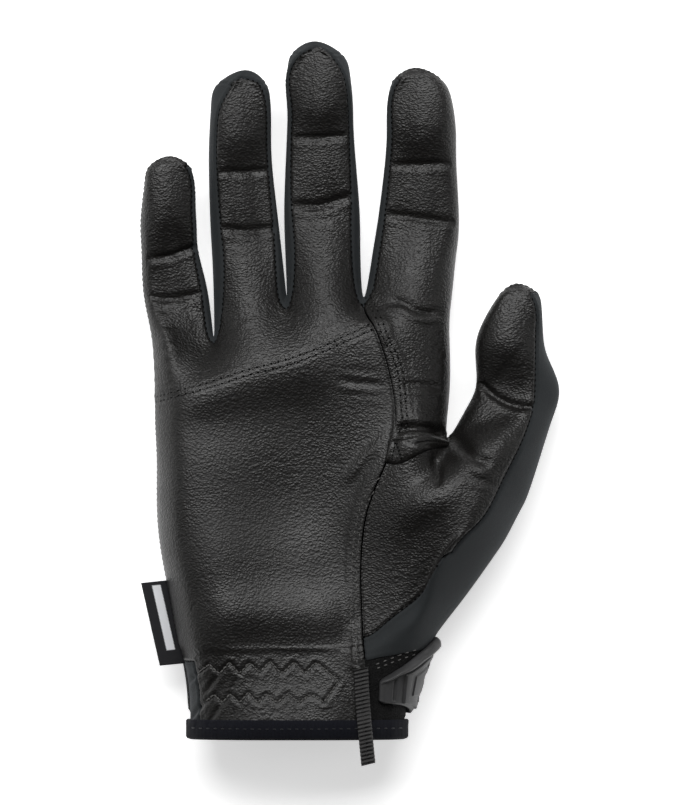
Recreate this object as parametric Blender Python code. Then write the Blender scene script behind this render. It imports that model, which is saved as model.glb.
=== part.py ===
"""A right-hand patrol glove, filled as a hand fills it and lying on its back, palm up.

+X points to the thumb side, +Y to the fingertips and +Z up out of the palm. Sections
across the palm and the fingers make one closed skin, which is cut into sewn panels along
its seams, and each panel is thickened inwards to its own wall.
"""

import math

import bpy
import numpy as np
from mathutils import Vector
from mathutils.bvhtree import BVHTree
from mathutils.geometry import barycentric_transform

# Driving sizes in metres
PINKY_BREADTH = 0.0217
RING_BREADTH = 0.0255
MIDDLE_BREADTH = 0.0270
INDEX_BREADTH = 0.0305
THUMB_BREADTH = 0.0280
PINKY_LENGTH = 0.0640
RING_LENGTH = 0.0868
MIDDLE_LENGTH = 0.0896
INDEX_LENGTH = 0.0805
THUMB_LENGTH = 0.0525
PINKY_DEPTH = 0.0165
RING_DEPTH = 0.0185
MIDDLE_DEPTH = 0.0200
INDEX_DEPTH = 0.0210
THUMB_DEPTH = 0.0230
PALM_LENGTH = 0.1575
PALM_DEPTH = 0.0300
LEATHER_WALL = 0.0013
FABRIC_WALL = 0.0016
BINDING_HEIGHT = 0.0056
BINDING_WALL = 0.0011
STRAP_WIDTH = 0.0265
STRAP_WALL = 0.0018
TAB_WALL = 0.0026
PULL_WIDTH = 0.0050
PULL_WALL = 0.0018
PULL_OVERHANG = 0.0080
PULL_CLIMB = 0.0050
PULL_SWING = 0.0008
PULL_SAG = 0.0006
LABEL_WIDTH = 0.0092
LABEL_LENGTH = 0.0290
LABEL_WALL = 0.0010
SEAM_GAP = 0.0005
TRIM_GAP = 0.0004
STRAP_GAP = 0.0006

# Facets of the trims: steps along the strap, its tab, the pull tab and the label, and
# steps across the strap.
STRAP_STEPS = 26
TAB_STEPS = 18
PULL_STEPS = 6
LABEL_STEPS = 4
BAND_STEPS = 5

HAND_BREADTH = PINKY_BREADTH + RING_BREADTH + MIDDLE_BREADTH + INDEX_BREADTH

# Where the trims lie: angles round the wrist from the thumb side, and shares of the hand's
# breadth and the palm's length.
TAB_START = math.radians(-24)
TAB_END = math.radians(47)
STRAP_START = math.radians(-163)
STRAP_END = math.radians(-30)
BAND_MIDDLE_SHARE = 0.147
TAB_DROP_SHARE = 0.036
TAB_TAPER_SHARE = 0.70
TAB_TAPER_POWER = 0.8
PULL_SEAT_SHARE = 0.036
PULL_LEAN_SHARE = 0.016
PULL_LEAN_POWER = 1.5
PULL_TOP_SHARE = 0.162
LABEL_TOP_SHARE = 0.355
LABEL_TILT_SHARE = 0.10

# How the skin is made: its levels of smoothing, the rounds that fit it to its points, the
# height under which the resting back is flat, and the shape of a finger's section and tip.
# A digit's middle stands DIGIT_SEAT above its lift, and the palm crests at its root.
SKIN_LEVEL = 1
FIT_ROUNDS = 24
REST_FLAT = 0.0004
SQUARENESS = 2.2
DIGIT_SEAT = 0.43
BACK_CORNER = 0.72
ROOT_CREST = 1.18
ROOT_DRAW = 0.01
THUMB_SPLIT = 0.5
STRAP_SEAT = (STRAP_WALL + STRAP_GAP + TRIM_GAP) / PALM_DEPTH
TIP_ARC = (0.0, 0.0, 0.0, 0.0, 0.075, 0.022)
TIP_CROWN = (1.0, 1.0, 1.0, 1.0, 0.72, 0.60)

# The digits. root_x is a share of the hand's breadth from its middle, root_y a share of the
# palm's length from the cuff, lean a share of the digit's breadth, and both lifts are shares
# of its depth.
DIGIT_COLUMNS = ("breadth", "length", "depth", "root_x", "root_y", "lean", "root_lift", "tip_lift")
DIGITS = {
    "pinky": (PINKY_BREADTH, PINKY_LENGTH, PINKY_DEPTH, None, 0.893, -0.210, 0.05, 0.45),
    "ring": (RING_BREADTH, RING_LENGTH, RING_DEPTH, None, 0.938, -0.068, 0.03, 0.35),
    "middle": (MIDDLE_BREADTH, MIDDLE_LENGTH, MIDDLE_DEPTH, None, 0.984, -0.136, 0.03, 0.35),
    "index": (INDEX_BREADTH, INDEX_LENGTH, INDEX_DEPTH, None, 0.984, 0.098, 0.05, 0.40),
    "thumb": (THUMB_BREADTH, THUMB_LENGTH, THUMB_DEPTH, 0.493, 0.682, 0.238, 0.20, 0.45),
}

# Sections up each digit. along is a share of its length, left and right are shares of its
# breadth from its axis, deep and dent are shares of its depth, and seam_left and seam_right
# say how far across the section its front seams lie, from -1 to 1.
SECTION_COLUMNS = ("along", "left", "right", "deep", "dent", "seam_left", "seam_right")
SECTIONS = {
    "pinky": (
        (0.230, 0.581, 0.452, 1.00, 0.05, -0.75, 0.85),
        (0.459, 0.570, 0.330, 0.94, 0.04, -0.75, 0.93),
        (0.590, 0.560, 0.325, 0.90, 0.00, -0.75, 0.93),
        (0.716, 0.515, 0.335, 0.86, 0.00, -0.75, 0.93),
        (0.852, 0.440, 0.345, 0.76, 0.00, -0.75, 0.93),
        (0.940, 0.345, 0.300, 0.50, 0.00, -0.75, 0.80),
    ),
    "ring": (
        (0.170, 0.502, 0.477, 1.02, 0.00, -0.71, 0.80),
        (0.360, 0.523, 0.408, 0.97, 0.05, -0.71, 0.88),
        (0.593, 0.530, 0.325, 0.90, 0.05, -0.75, 0.93),
        (0.738, 0.513, 0.315, 0.86, 0.00, -0.76, 0.93),
        (0.863, 0.480, 0.330, 0.74, 0.00, -0.64, 0.86),
        (0.944, 0.375, 0.280, 0.46, 0.00, -0.40, 0.72),
    ),
    "middle": (
        (0.184, 0.495, 0.479, 1.02, 0.00, -0.77, 0.80),
        (0.379, 0.474, 0.487, 0.97, 0.05, -0.84, 0.81),
        (0.621, 0.395, 0.445, 0.88, 0.05, -0.93, 0.90),
        (0.750, 0.375, 0.452, 0.84, 0.00, -0.93, 0.88),
        (0.875, 0.365, 0.440, 0.74, 0.00, -0.93, 0.76),
        (0.949, 0.305, 0.340, 0.46, 0.00, -0.60, 0.55),
    ),
    "index": (
        (0.170, 0.413, 0.541, 1.04, 0.00, -0.88, 0.75),
        (0.335, 0.360, 0.560, 0.99, 0.05, -0.88, 0.75),
        (0.574, 0.303, 0.507, 0.90, 0.05, -0.90, 0.75),
        (0.726, 0.295, 0.486, 0.86, 0.00, -0.90, 0.75),
        (0.865, 0.298, 0.421, 0.74, 0.00, -0.90, 0.75),
        (0.948, 0.240, 0.290, 0.46, 0.00, -0.75, 0.75),
    ),
    "thumb": (
        (0.140, 0.455, 0.672, 1.08, 0.00, -0.75, 0.51),
        (0.320, 0.350, 0.674, 1.00, 0.08, -0.75, 0.45),
        (0.520, 0.408, 0.490, 0.94, 0.00, -0.75, 0.69),
        (0.687, 0.398, 0.395, 0.86, 0.00, -0.75, 0.80),
        (0.847, 0.283, 0.343, 0.72, 0.00, -0.75, 0.74),
        (0.940, 0.175, 0.250, 0.46, 0.00, -0.75, 0.60),
    ),
}

# The webs between digits, from the little finger's side: web, front and back are shares of
# the palm's length from the cuff, and the heights are shares of the palm's depth.
WEB_COLUMNS = ("web", "front", "back", "front_height", "web_height", "back_height")
WEBS = {
    2: (0.896, 0.884, 0.884, 0.52, 0.32, 0.12),
    4: (0.991, 0.958, 0.950, 0.56, 0.32, 0.10),
    6: (0.984, 0.966, 0.960, 0.60, 0.34, 0.10),
    8: (0.674, 0.655, 0.640, 0.80, 0.46, 0.16),
}
THUMB_WEB_SHARE = 0.323

# Rows across the palm, from the finger roots to the cuff. x values are shares of the hand's
# breadth from its middle, y values shares of the palm's length from the cuff. deep, lift and
# edge, the radius of the row's two edges, are shares of the palm's depth. seam is the long
# seam beside the thumb's ball, border the seam between the thumb's leather and fabric, and
# bow bends a row between those points.
ROW_COLUMNS = (
    "left_x", "left_y", "bow_left", "seam_x", "seam_y",
    "bow_right", "border_x", "border_y", "right_x", "right_y", "deep", "lift", "edge",
)
ROWS = (
    (-0.664, 0.889, 0.000, 0.050, 0.966, 0.000, 0.310, 0.975, 0.339, 0.984, 0.82, 0.00, 0.52),
    (-0.654, 0.764, -0.008, 0.085, 0.909, 0.000, 0.300, 0.900, 0.331, 0.909, 0.92, 0.00, 0.52),
    (-0.652, 0.691, 0.000, 0.139, 0.787, 0.000, 0.300, 0.775, 0.332, 0.782, 0.97, 0.00, 0.52),
    (-0.647, 0.618, 0.000, 0.139, 0.660, 0.000, 0.567, 0.653, 0.654, 0.671, 1.00, 0.00, 0.52),
    (-0.647, 0.522, 0.000, 0.069, 0.540, -0.004, 0.520, 0.591, 0.600, 0.558, 1.00, 0.00, 0.52),
    (-0.635, 0.427, 0.000, 0.038, 0.435, -0.004, 0.483, 0.540, 0.567, 0.509, 1.00, 0.00, 0.53),
    (-0.607, 0.329, 0.000, 0.035, 0.335, -0.008, 0.426, 0.482, 0.523, 0.453, 1.02, 0.02, 0.56),
    (-0.580, 0.236, 0.000, 0.042, 0.231, -0.022, 0.339, 0.418, 0.471, 0.400, 1.01, STRAP_SEAT, 0.62),
    (-0.567, 0.204, 0.000, 0.045, 0.207, -0.012, 0.296, 0.311, 0.366, 0.304, 1.07, STRAP_SEAT, 0.70),
    (-0.555, 0.176, 0.000, 0.048, 0.180, 0.000, 0.216, 0.200, 0.257, 0.204, 1.12, STRAP_SEAT, 0.80),
    (-0.538, 0.111, 0.000, 0.052, 0.111, 0.000, 0.170, 0.111, 0.206, 0.111, 1.16, STRAP_SEAT, 0.92),
    (-0.535, 0.042, 0.000, 0.050, 0.042, 0.000, 0.146, 0.042, 0.179, 0.042, 1.18, STRAP_SEAT, 1.00),
    (-0.535, 0.012, 0.000, 0.050, 0.012, 0.000, 0.146, 0.012, 0.179, 0.012, 1.18, STRAP_SEAT, 1.00),
)
ROOT_ROW, WEB_ROW, LABEL_ROW, WEDGE_ROW, LOOP_ROW = 0, 3, 6, 7, 9
LEFT_SHARES = (0.055, 0.145, 0.290, 0.460, 0.635, 0.820)
RIGHT_SHARES = (0.215, 0.435, 0.700)
LAST_COLUMN = 10
THUMB_COLUMN = 8

# Soft swells and hollows of the palm: places and radii are shares of the hand's breadth and
# the palm's length, rise is a share of the palm's depth.
SWELL_COLUMNS = ("x", "y", "across", "along", "rise")
SWELLS = {
    "thumb_ball": (0.33, 0.53, 0.27, 0.17, 0.36),
    "outer_heel": (-0.49, 0.40, 0.19, 0.23, 0.12),
    "hollow": (-0.10, 0.60, 0.26, 0.20, -0.12),
    "finger_pads": (-0.33, 0.84, 0.36, 0.07, 0.06),
    "gathered_wrist": (-0.22, 0.150, 0.26, 0.045, -0.10),
}

PANEL_WALLS = {
    "palm_panel": LEATHER_WALL,
    "finger_panel": LEATHER_WALL,
    "index_panel": LEATHER_WALL,
    "thumb_panel": LEATHER_WALL,
    "hand_back": FABRIC_WALL,
    "thumb_side": FABRIC_WALL,
    "fourchette_pinky_ring": FABRIC_WALL,
    "fourchette_ring_middle": FABRIC_WALL,
    "fourchette_middle_index": FABRIC_WALL,
    "wrist_loop_panel": FABRIC_WALL,
}
PANELS = tuple(PANEL_WALLS)


def clear_scene():
    for obj in list(bpy.data.objects):
        bpy.data.objects.remove(obj, do_unlink=True)


def material(name, colour, roughness, metallic=0.0):
    made = bpy.data.materials.new(name)
    made.use_nodes = True
    shader = made.node_tree.nodes["Principled BSDF"]
    shader.inputs["Base Color"].default_value = (*colour, 1.0)
    shader.inputs["Roughness"].default_value = roughness
    shader.inputs["Metallic"].default_value = metallic
    made.diffuse_color = (*colour, 1.0)
    return made


def digit_sizes(name):
    """A digit's sizes by name, with its root placed beside its neighbour's."""
    sizes = dict(zip(DIGIT_COLUMNS, DIGITS[name]))
    if sizes["root_x"] is None:
        start = row_sizes(ROOT_ROW)["left_x"]
        for other in DIGITS:
            if other == name:
                break
            start += DIGITS[other][0]
        sizes["root_x"] = start + sizes["breadth"] / 2
    else:
        sizes["root_x"] *= HAND_BREADTH
    sizes["root_y"] *= PALM_LENGTH
    return sizes


def row_sizes(row):
    """A palm row in metres."""
    sizes = dict(zip(ROW_COLUMNS, ROWS[row]))
    for column in sizes:
        if column.endswith("_x"):
            sizes[column] *= HAND_BREADTH
        elif column in ("deep", "lift", "edge"):
            sizes[column] *= PALM_DEPTH
        else:
            sizes[column] *= PALM_LENGTH
    return sizes


def digit_edge(name, side):
    """The furthest that a digit reaches to one side, in x."""
    sizes = digit_sizes(name)
    reach = []
    for values in SECTIONS[name]:
        section = dict(zip(SECTION_COLUMNS, values))
        axis = sizes["root_x"] + sizes["lean"] * sizes["breadth"] * section["along"]
        reach.append(axis + (-section["left"] if side < 0 else section["right"]) * sizes["breadth"])
    return min(reach) if side < 0 else max(reach)


def middle_of_outline():
    """The middle of the finished glove's outline, which becomes the origin."""
    middle = digit_sizes("middle")
    top = middle["root_y"] + middle["length"]
    x = (digit_edge("pinky", -1) + digit_edge("thumb", 1)) / 2
    return Vector((x, (top - PULL_OVERHANG) / 2, 0.0))


def rounded(offset):
    """The height of a rounded section at a place from -1 to 1 across it, as a share."""
    return (1.0 - min(abs(offset), 1.0) ** SQUARENESS) ** (1.0 / SQUARENESS)


def palm_swell(x, y):
    """How far the swells and hollows raise the palm's front at a place."""
    total = 0.0
    for values in SWELLS.values():
        swell = dict(zip(SWELL_COLUMNS, values))
        across = (x / HAND_BREADTH - swell["x"]) / swell["across"]
        along = (y / PALM_LENGTH - swell["y"]) / swell["along"]
        total += swell["rise"] * PALM_DEPTH * math.exp(-across * across - along * along)
    return total


def palm_heights(sizes, x, y, left, right):
    """Front and back height of the palm at a place between a row's two edges."""
    inside = min(x - left, right - x) / sizes["edge"]
    round_off = math.sqrt(1.0 - (1.0 - min(max(inside, 0.0), 1.0)) ** 2)
    front = sizes["lift"] + sizes["deep"] + palm_swell(x, y)
    middle = (sizes["lift"] + sizes["deep"]) / 2
    return middle + (front - middle) * round_off, middle + (sizes["lift"] - middle) * round_off


def palm_row(row):
    """Named points of one palm row: c for the front columns, b for the back, l and r for the sides."""
    sizes = row_sizes(row)
    last = THUMB_COLUMN if row < WEB_ROW else LAST_COLUMN
    flat = {}
    for column in range(last + 1):
        if column < 6:
            share, start, end = LEFT_SHARES[column], "left", "seam"
            bow = sizes["bow_left"]
        elif column == 6:
            share, start, end, bow = 0.0, "seam", "border", 0.0
        elif column == last:
            share, start, end, bow = 1.0, "seam", "border", 0.0
        else:
            share = THUMB_SPLIT if last == THUMB_COLUMN else RIGHT_SHARES[column - 7]
            start, end, bow = "seam", "border", sizes["bow_right"]
        x = sizes[start + "_x"] + share * (sizes[end + "_x"] - sizes[start + "_x"])
        y = sizes[start + "_y"] + share * (sizes[end + "_y"] - sizes[start + "_y"])
        flat[column] = (x, y + bow * 4 * share * (1 - share))
    middle = (sizes["lift"] + sizes["deep"]) / 2
    points = {
        ("l", row): (sizes["left_x"], sizes["left_y"], middle),
        ("r", row): (sizes["right_x"], sizes["right_y"], middle),
    }
    for column, (x, y) in flat.items():
        front, back = palm_heights(sizes, x, y, sizes["left_x"], sizes["right_x"])
        points["c", row, column] = (x, y, front)
        points["b", row, column] = (x, y, back)
    return points


def root_row():
    """The palm's first row, whose points are the finger roots and the webs between them."""
    points = palm_row(ROOT_ROW)
    edge = row_sizes(ROOT_ROW)["left_x"]
    for column, name in ((1, "pinky"), (3, "ring"), (5, "middle"), (7, "index")):
        sizes = digit_sizes(name)
        edge += sizes["breadth"]
        y = sizes["root_y"] - ROOT_DRAW * PALM_LENGTH
        points["c", ROOT_ROW, column] = (sizes["root_x"], y, ROOT_CREST * sizes["depth"])
        points["b", ROOT_ROW, column] = (sizes["root_x"], y, 0.0)
        if name != "index":
            points.update(web_points(column + 1, edge, ROOT_ROW))
    return points


def web_points(column, x, row):
    web = dict(zip(WEB_COLUMNS, WEBS[column]))
    return {
        ("c", row, column): (x, web["front"] * PALM_LENGTH, web["front_height"] * PALM_DEPTH),
        ("m", column): (x, web["web"] * PALM_LENGTH, web["web_height"] * PALM_DEPTH),
        ("b", row, column): (x, web["back"] * PALM_LENGTH, web["back_height"] * PALM_DEPTH),
    }


def digit_rings(name):
    """Rings of eight points up a digit, and its tip point."""
    sizes = digit_sizes(name)
    points = {}
    for ring, values in enumerate(SECTIONS[name], start=1):
        section = dict(zip(SECTION_COLUMNS, values))
        along = section["along"]
        axis = sizes["root_x"] + sizes["lean"] * sizes["breadth"] * along
        left = axis - section["left"] * sizes["breadth"]
        right = axis + section["right"] * sizes["breadth"]
        y = sizes["root_y"] + along * sizes["length"]
        lift = sizes["root_lift"] + (sizes["tip_lift"] - sizes["root_lift"]) * along**2
        centre = (lift + DIGIT_SEAT) * sizes["depth"]
        half = section["deep"] * sizes["depth"] / 2
        middle, span = (left + right) / 2, (right - left) / 2
        crown, arc = TIP_CROWN[ring - 1], TIP_ARC[ring - 1] * sizes["length"]
        dent = section["dent"] * sizes["depth"]
        points[name, ring, "ML"] = (left, y, centre)
        points[name, ring, "MR"] = (right, y, centre)
        for corner, offset in (("FL", section["seam_left"]), ("FR", section["seam_right"])):
            height = centre + half * rounded(offset) - dent * rounded(offset)
            points[name, ring, corner] = (middle + offset * span, y, height)
        for corner, offset in (("BL", -BACK_CORNER), ("BR", BACK_CORNER)):
            points[name, ring, corner] = (middle + offset * span, y, centre - half * rounded(offset))
        points[name, ring, "FM"] = (middle, y + arc, centre + half * crown - dent)
        points[name, ring, "BM"] = (middle, y + arc, centre - half * crown)
    tip_x = sizes["root_x"] + sizes["lean"] * sizes["breadth"]
    tip_z = (sizes["tip_lift"] + DIGIT_SEAT) * sizes["depth"]
    points[name, "tip"] = (tip_x, sizes["root_y"] + sizes["length"], tip_z)
    return points


def digit_panels(name):
    """The panel of each strip up a digit, going round from its front left corner."""
    left = {
        "pinky": "hand_back",
        "ring": "fourchette_pinky_ring",
        "middle": "fourchette_ring_middle",
        "index": "fourchette_middle_index",
        "thumb": "thumb_panel",
    }[name]
    right = {
        "pinky": "fourchette_pinky_ring",
        "ring": "fourchette_ring_middle",
        "middle": "fourchette_middle_index",
        "index": "index_panel",
        "thumb": "thumb_side",
    }[name]
    front = {"index": "index_panel", "thumb": "thumb_panel"}.get(name, "finger_panel")
    back = "thumb_side" if name == "thumb" else "hand_back"
    front_side = "finger_panel" if name == "pinky" else left
    return {
        ("FL", "FM"): front,
        ("FM", "FR"): front,
        ("FR", "MR"): right,
        ("MR", "BR"): right,
        ("BR", "BM"): back,
        ("BM", "BL"): back,
        ("BL", "ML"): left,
        ("ML", "FL"): front_side,
    }


def base_keys(name, column, row):
    """The palm points that a digit's first ring joins."""
    left = ("l", row) if name == "pinky" else ("m", column)
    right = ("r", row) if name in ("index", "thumb") else ("m", column + 2)
    return {
        "FL": ("c", row, column),
        "FM": ("c", row, column + 1),
        "FR": ("c", row, column + 2),
        "MR": right,
        "BR": ("b", row, column + 2),
        "BM": ("b", row, column + 1),
        "BL": ("b", row, column),
        "ML": left,
    }


def digit_faces(name, column, row):
    faces = []
    below = base_keys(name, column, row)
    strips = digit_panels(name)
    for ring in range(1, len(SECTIONS[name]) + 1):
        above = {corner: (name, ring, corner) for corner in below}
        for (first, second), panel in strips.items():
            faces.append(((below[first], below[second], above[second], above[first]), panel))
        below = above
    tip = (name, "tip")
    wraps = name in ("index", "thumb", "pinky")
    front = strips["FL", "FM"] if wraps else "hand_back"
    back = strips["BM", "BL"]
    faces.append(((below["FL"], below["FM"], tip, below["ML"]), front))
    faces.append(((below["FM"], below["FR"], below["MR"], tip), front))
    faces.append(((below["ML"], tip, below["BM"], below["BL"]), back))
    faces.append(((tip, below["MR"], below["BR"], below["BM"]), back))
    return faces


def palm_panel_name(row, column):
    """The front panel between two rows and two columns."""
    if column < 6:
        return "finger_panel" if row == ROOT_ROW else "palm_panel"
    if row < WEB_ROW:
        return "index_panel"
    if row < WEDGE_ROW:
        return "thumb_panel"
    return "thumb_side" if row < LOOP_ROW else "wrist_loop_panel"


def palm_faces():
    faces = []
    for row in range(len(ROWS) - 1):
        below = row + 1
        last = THUMB_COLUMN if row < WEB_ROW else LAST_COLUMN
        for column in range(last):
            front = (("c", below, column), ("c", below, column + 1),
                     ("c", row, column + 1), ("c", row, column))
            back = (("b", row, column), ("b", row, column + 1),
                    ("b", below, column + 1), ("b", below, column))
            faces.append((front, palm_panel_name(row, column)))
            faces.append((back, "hand_back"))
        left_front = palm_panel_name(row, 0) if row < LOOP_ROW else "hand_back"
        faces.append(((("l", below), ("c", below, 0), ("c", row, 0), ("l", row)), left_front))
        faces.append(((("b", below, 0), ("l", below), ("l", row), ("b", row, 0)), "hand_back"))
        side = right_side_keys(row)
        side_below = right_side_keys(below, upper=row < WEB_ROW)
        if row < WEB_ROW:
            front_panel, back_panel = "index_panel", "index_panel"
        elif row < LOOP_ROW:
            front_panel, back_panel = "thumb_side", "thumb_side"
        else:
            front_panel, back_panel = "wrist_loop_panel", "hand_back"
        faces.append(((side_below[0], side_below[1], side[1], side[0]), front_panel))
        faces.append(((side_below[1], side_below[2], side[2], side[1]), back_panel))
    return faces


def right_side_keys(row, upper=None):
    """Front, side and back point at the right edge of a row; the web row has two such edges."""
    if upper is None:
        upper = row < WEB_ROW
    if upper and row == WEB_ROW:
        return ("c", row, THUMB_COLUMN), ("m", THUMB_COLUMN), ("b", row, THUMB_COLUMN)
    column = THUMB_COLUMN if row < WEB_ROW else LAST_COLUMN
    return ("c", row, column), ("r", row), ("b", row, column)


def cage():
    """All the skin's points by name, and its faces with their panels."""
    points = root_row()
    for row in range(1, len(ROWS)):
        points.update(palm_row(row))
    points.update(web_points(THUMB_COLUMN, THUMB_WEB_SHARE * HAND_BREADTH, WEB_ROW))
    faces = palm_faces()
    for name, column in (("pinky", 0), ("ring", 2), ("middle", 4), ("index", 6)):
        points.update(digit_rings(name))
        faces += digit_faces(name, column, ROOT_ROW)
    points.update(digit_rings("thumb"))
    faces += digit_faces("thumb", THUMB_COLUMN, WEB_ROW)
    return points, faces


def smooth_skin(level):
    """The smooth skin through every named point, as vertices, normals, faces and panels."""
    points, faces = cage()
    keys = list(points)
    number = {key: index for index, key in enumerate(keys)}
    wanted = np.array([points[key] for key in keys])
    mesh = bpy.data.meshes.new("skin_cage")
    mesh.from_pydata(wanted.tolist(), [], [[number[key] for key in face] for face, _ in faces])
    for polygon, (_, panel) in zip(mesh.polygons, faces):
        polygon.material_index = PANELS.index(panel)
    guide = bpy.data.objects.new("skin_cage", mesh)
    bpy.context.collection.objects.link(guide)
    smoothing = guide.modifiers.new("smooth", "SUBSURF")
    smoothing.levels = smoothing.render_levels = 1
    held = wanted.copy()
    for _ in range(FIT_ROUNDS):
        held += wanted - evaluated(guide)[0][: len(wanted)]
        mesh.vertices.foreach_set("co", held.ravel())
        mesh.update()
    smoothing.levels = smoothing.render_levels = level
    skin = evaluated(guide)
    bpy.data.objects.remove(guide, do_unlink=True)
    return skin


def evaluated(obj):
    bpy.context.view_layer.update()
    shaped = obj.evaluated_get(bpy.context.evaluated_depsgraph_get())
    mesh = shaped.to_mesh()
    co = np.empty(len(mesh.vertices) * 3)
    mesh.vertices.foreach_get("co", co)
    faces = [tuple(polygon.vertices) for polygon in mesh.polygons]
    panels = [PANELS[polygon.material_index] for polygon in mesh.polygons]
    shaped.to_mesh_clear()
    return co.reshape(-1, 3), faces, panels


def vertex_normals(co, faces):
    """Outward normals, each the mean of the faces round its vertex."""
    normals = np.zeros_like(co)
    quads = np.array(faces)
    across = co[quads[:, 2]] - co[quads[:, 0]]
    up = co[quads[:, 3]] - co[quads[:, 1]]
    face_normals = np.cross(across, up)
    for corner in range(4):
        np.add.at(normals, quads[:, corner], face_normals)
    return normals / np.linalg.norm(normals, axis=1, keepdims=True)


def border_edges(faces):
    """The directed edges on a panel's border."""
    edges = [(face[i], face[(i + 1) % 4]) for face in faces for i in range(4)]
    known = set(edges)
    return [edge for edge in edges if (edge[1], edge[0]) not in known]


def panel_shell(co, normals, faces, wall, open_edge):
    """One panel as a closed wall. Its seams draw in by half the seam gap, and its open edge stays."""
    used = sorted({vertex for face in faces for vertex in face})
    local = {vertex: index for index, vertex in enumerate(used)}
    outer = co[used].copy()
    edges = border_edges(faces)
    inward = np.zeros_like(outer)
    count = np.zeros(len(used))
    for a, b in edges:
        if a in open_edge and b in open_edge:
            continue
        for vertex in (a, b):
            side = np.cross(normals[vertex], co[b] - co[a])
            inward[local[vertex]] += side / np.linalg.norm(side)
            count[local[vertex]] += 1
    moved = count > 0
    length = np.linalg.norm(inward[moved], axis=1, keepdims=True)
    outer[moved] += SEAM_GAP / 2 * inward[moved] / length * (count[moved, None] / length)
    inner = outer - normals[used] * wall
    total = len(used)
    shell = [[local[v] for v in face] for face in faces]
    shell += [[local[v] + total for v in reversed(face)] for face in faces]
    for a, b in edges:
        corners = (local[a], local[b], local[b] + total, local[a] + total)
        start = 0 if a < b else 1
        shell.append([corners[(start + i) % 4] for i in (2, 1, 0)])
        shell.append([corners[(start + i) % 4] for i in (3, 2, 0)])
    return np.concatenate([outer, inner]), shell


def place(name, co, faces, finish):
    """A finished node: its mesh moved so that the origin is the glove's own."""
    mesh = bpy.data.meshes.new(name)
    mesh.from_pydata((np.asarray(co) - ORIGIN).tolist(), [], [list(face) for face in faces])
    mesh.materials.append(finish)
    mesh.shade_smooth()
    obj = bpy.data.objects.new(name, mesh)
    bpy.context.collection.objects.link(obj)
    return obj


class Skin:
    """The outer skin, with the places on it that trims are laid on."""

    def __init__(self, co, faces, open_edge):
        self.co = co
        self.open_edge = open_edge
        self.normals = vertex_normals(co, faces)
        self.triangles = [tri for a, b, c, d in faces for tri in ((a, b, c), (a, c, d))]
        self.tree = BVHTree.FromPolygons([Vector(v) for v in co], self.triangles)

    def hit(self, start, direction):
        """The first point of the skin along a ray, and its smooth normal."""
        point, _, index, _ = self.tree.ray_cast(Vector(start), Vector(direction).normalized())
        corners = [Vector(self.co[v]) for v in self.triangles[index]]
        normals = [Vector(self.normals[v]) for v in self.triangles[index]]
        return point, barycentric_transform(point, *corners, *normals).normalized()

    def cuff_edge(self):
        """The points of the cuff's edge in order round the wrist, with level normals."""
        edge = [Vector(self.co[v]) for v in self.open_edge]
        middle = sum(edge, Vector()) / len(edge)
        normals = [Vector(self.normals[v]) for v in self.open_edge]
        normals = [Vector((n.x, 0.0, n.z)).normalized() for n in normals]
        pairs = zip(edge, normals)
        return sorted(pairs, key=lambda pair: math.atan2(pair[0].z - middle.z, pair[0].x - middle.x))

    def wrist(self, y, angle):
        """A point round the wrist at a height, by angle from the thumb side over the palm."""
        sizes = row_sizes(LOOP_ROW + 1)
        middle_x = (sizes["left_x"] + sizes["right_x"]) / 2
        middle_z = sizes["lift"] + sizes["deep"] / 2
        half_x = (sizes["right_x"] - sizes["left_x"]) / 2
        half_z = sizes["deep"] / 2
        across = Vector((half_x * math.cos(angle), 0.0, half_z * math.sin(angle)))
        slope = Vector((across.x / half_x**2, 0.0, across.z / half_z**2)).normalized()
        start = Vector((middle_x, y, middle_z)) + across + slope * PALM_DEPTH
        return self.hit(start, -slope)


def swept(rings, closed):
    """Faces that join equal rings of points, as a tube or, where closed, as a loop."""
    co = [point for ring in rings for point in ring]
    count = len(rings[0])
    faces = []
    steps = len(rings) if closed else len(rings) - 1
    for step in range(steps):
        after = (step + 1) % len(rings)
        for i in range(count):
            j = (i + 1) % count
            faces.append((step * count + i, step * count + j, after * count + j, after * count + i))
    if not closed:
        faces.append(tuple(reversed(range(count))))
        faces.append(tuple(range((len(rings) - 1) * count, len(rings) * count)))
    return co, faces


def outward(co, faces):
    """The faces turned so that the closed solid that they bound faces out."""
    co = np.asarray(co, dtype=float)
    volume = 0.0
    for face in faces:
        for i in range(1, len(face) - 1):
            a, b, c = co[face[0]], co[face[i]], co[face[i + 1]]
            volume += np.dot(a, np.cross(b, c))
    return faces if volume > 0 else [tuple(reversed(face)) for face in faces]


def sheet_on_skin(grid, near, far):
    """A closed sheet between two offsets over a grid of skin points and normals."""
    rows, columns = len(grid), len(grid[0])
    co = [point + normal * near for row in grid for point, normal in row]
    co += [point + normal * far for row in grid for point, normal in row]
    total = rows * columns
    faces = []
    for r in range(rows - 1):
        for c in range(columns - 1):
            a, b = r * columns + c, r * columns + c + 1
            d, e = a + columns, b + columns
            faces.append((a, b, e, d))
            faces.append((a + total, d + total, e + total, b + total))
    rim = [r * columns for r in range(rows)]
    rim += [(rows - 1) * columns + c for c in range(1, columns)]
    rim += [r * columns + columns - 1 for r in range(rows - 2, -1, -1)]
    rim += [c for c in range(columns - 2, 0, -1)]
    for a, b in zip(rim, rim[1:] + rim[:1]):
        faces.append((a, b, b + total, a + total))
    return co, outward(co, faces)


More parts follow.
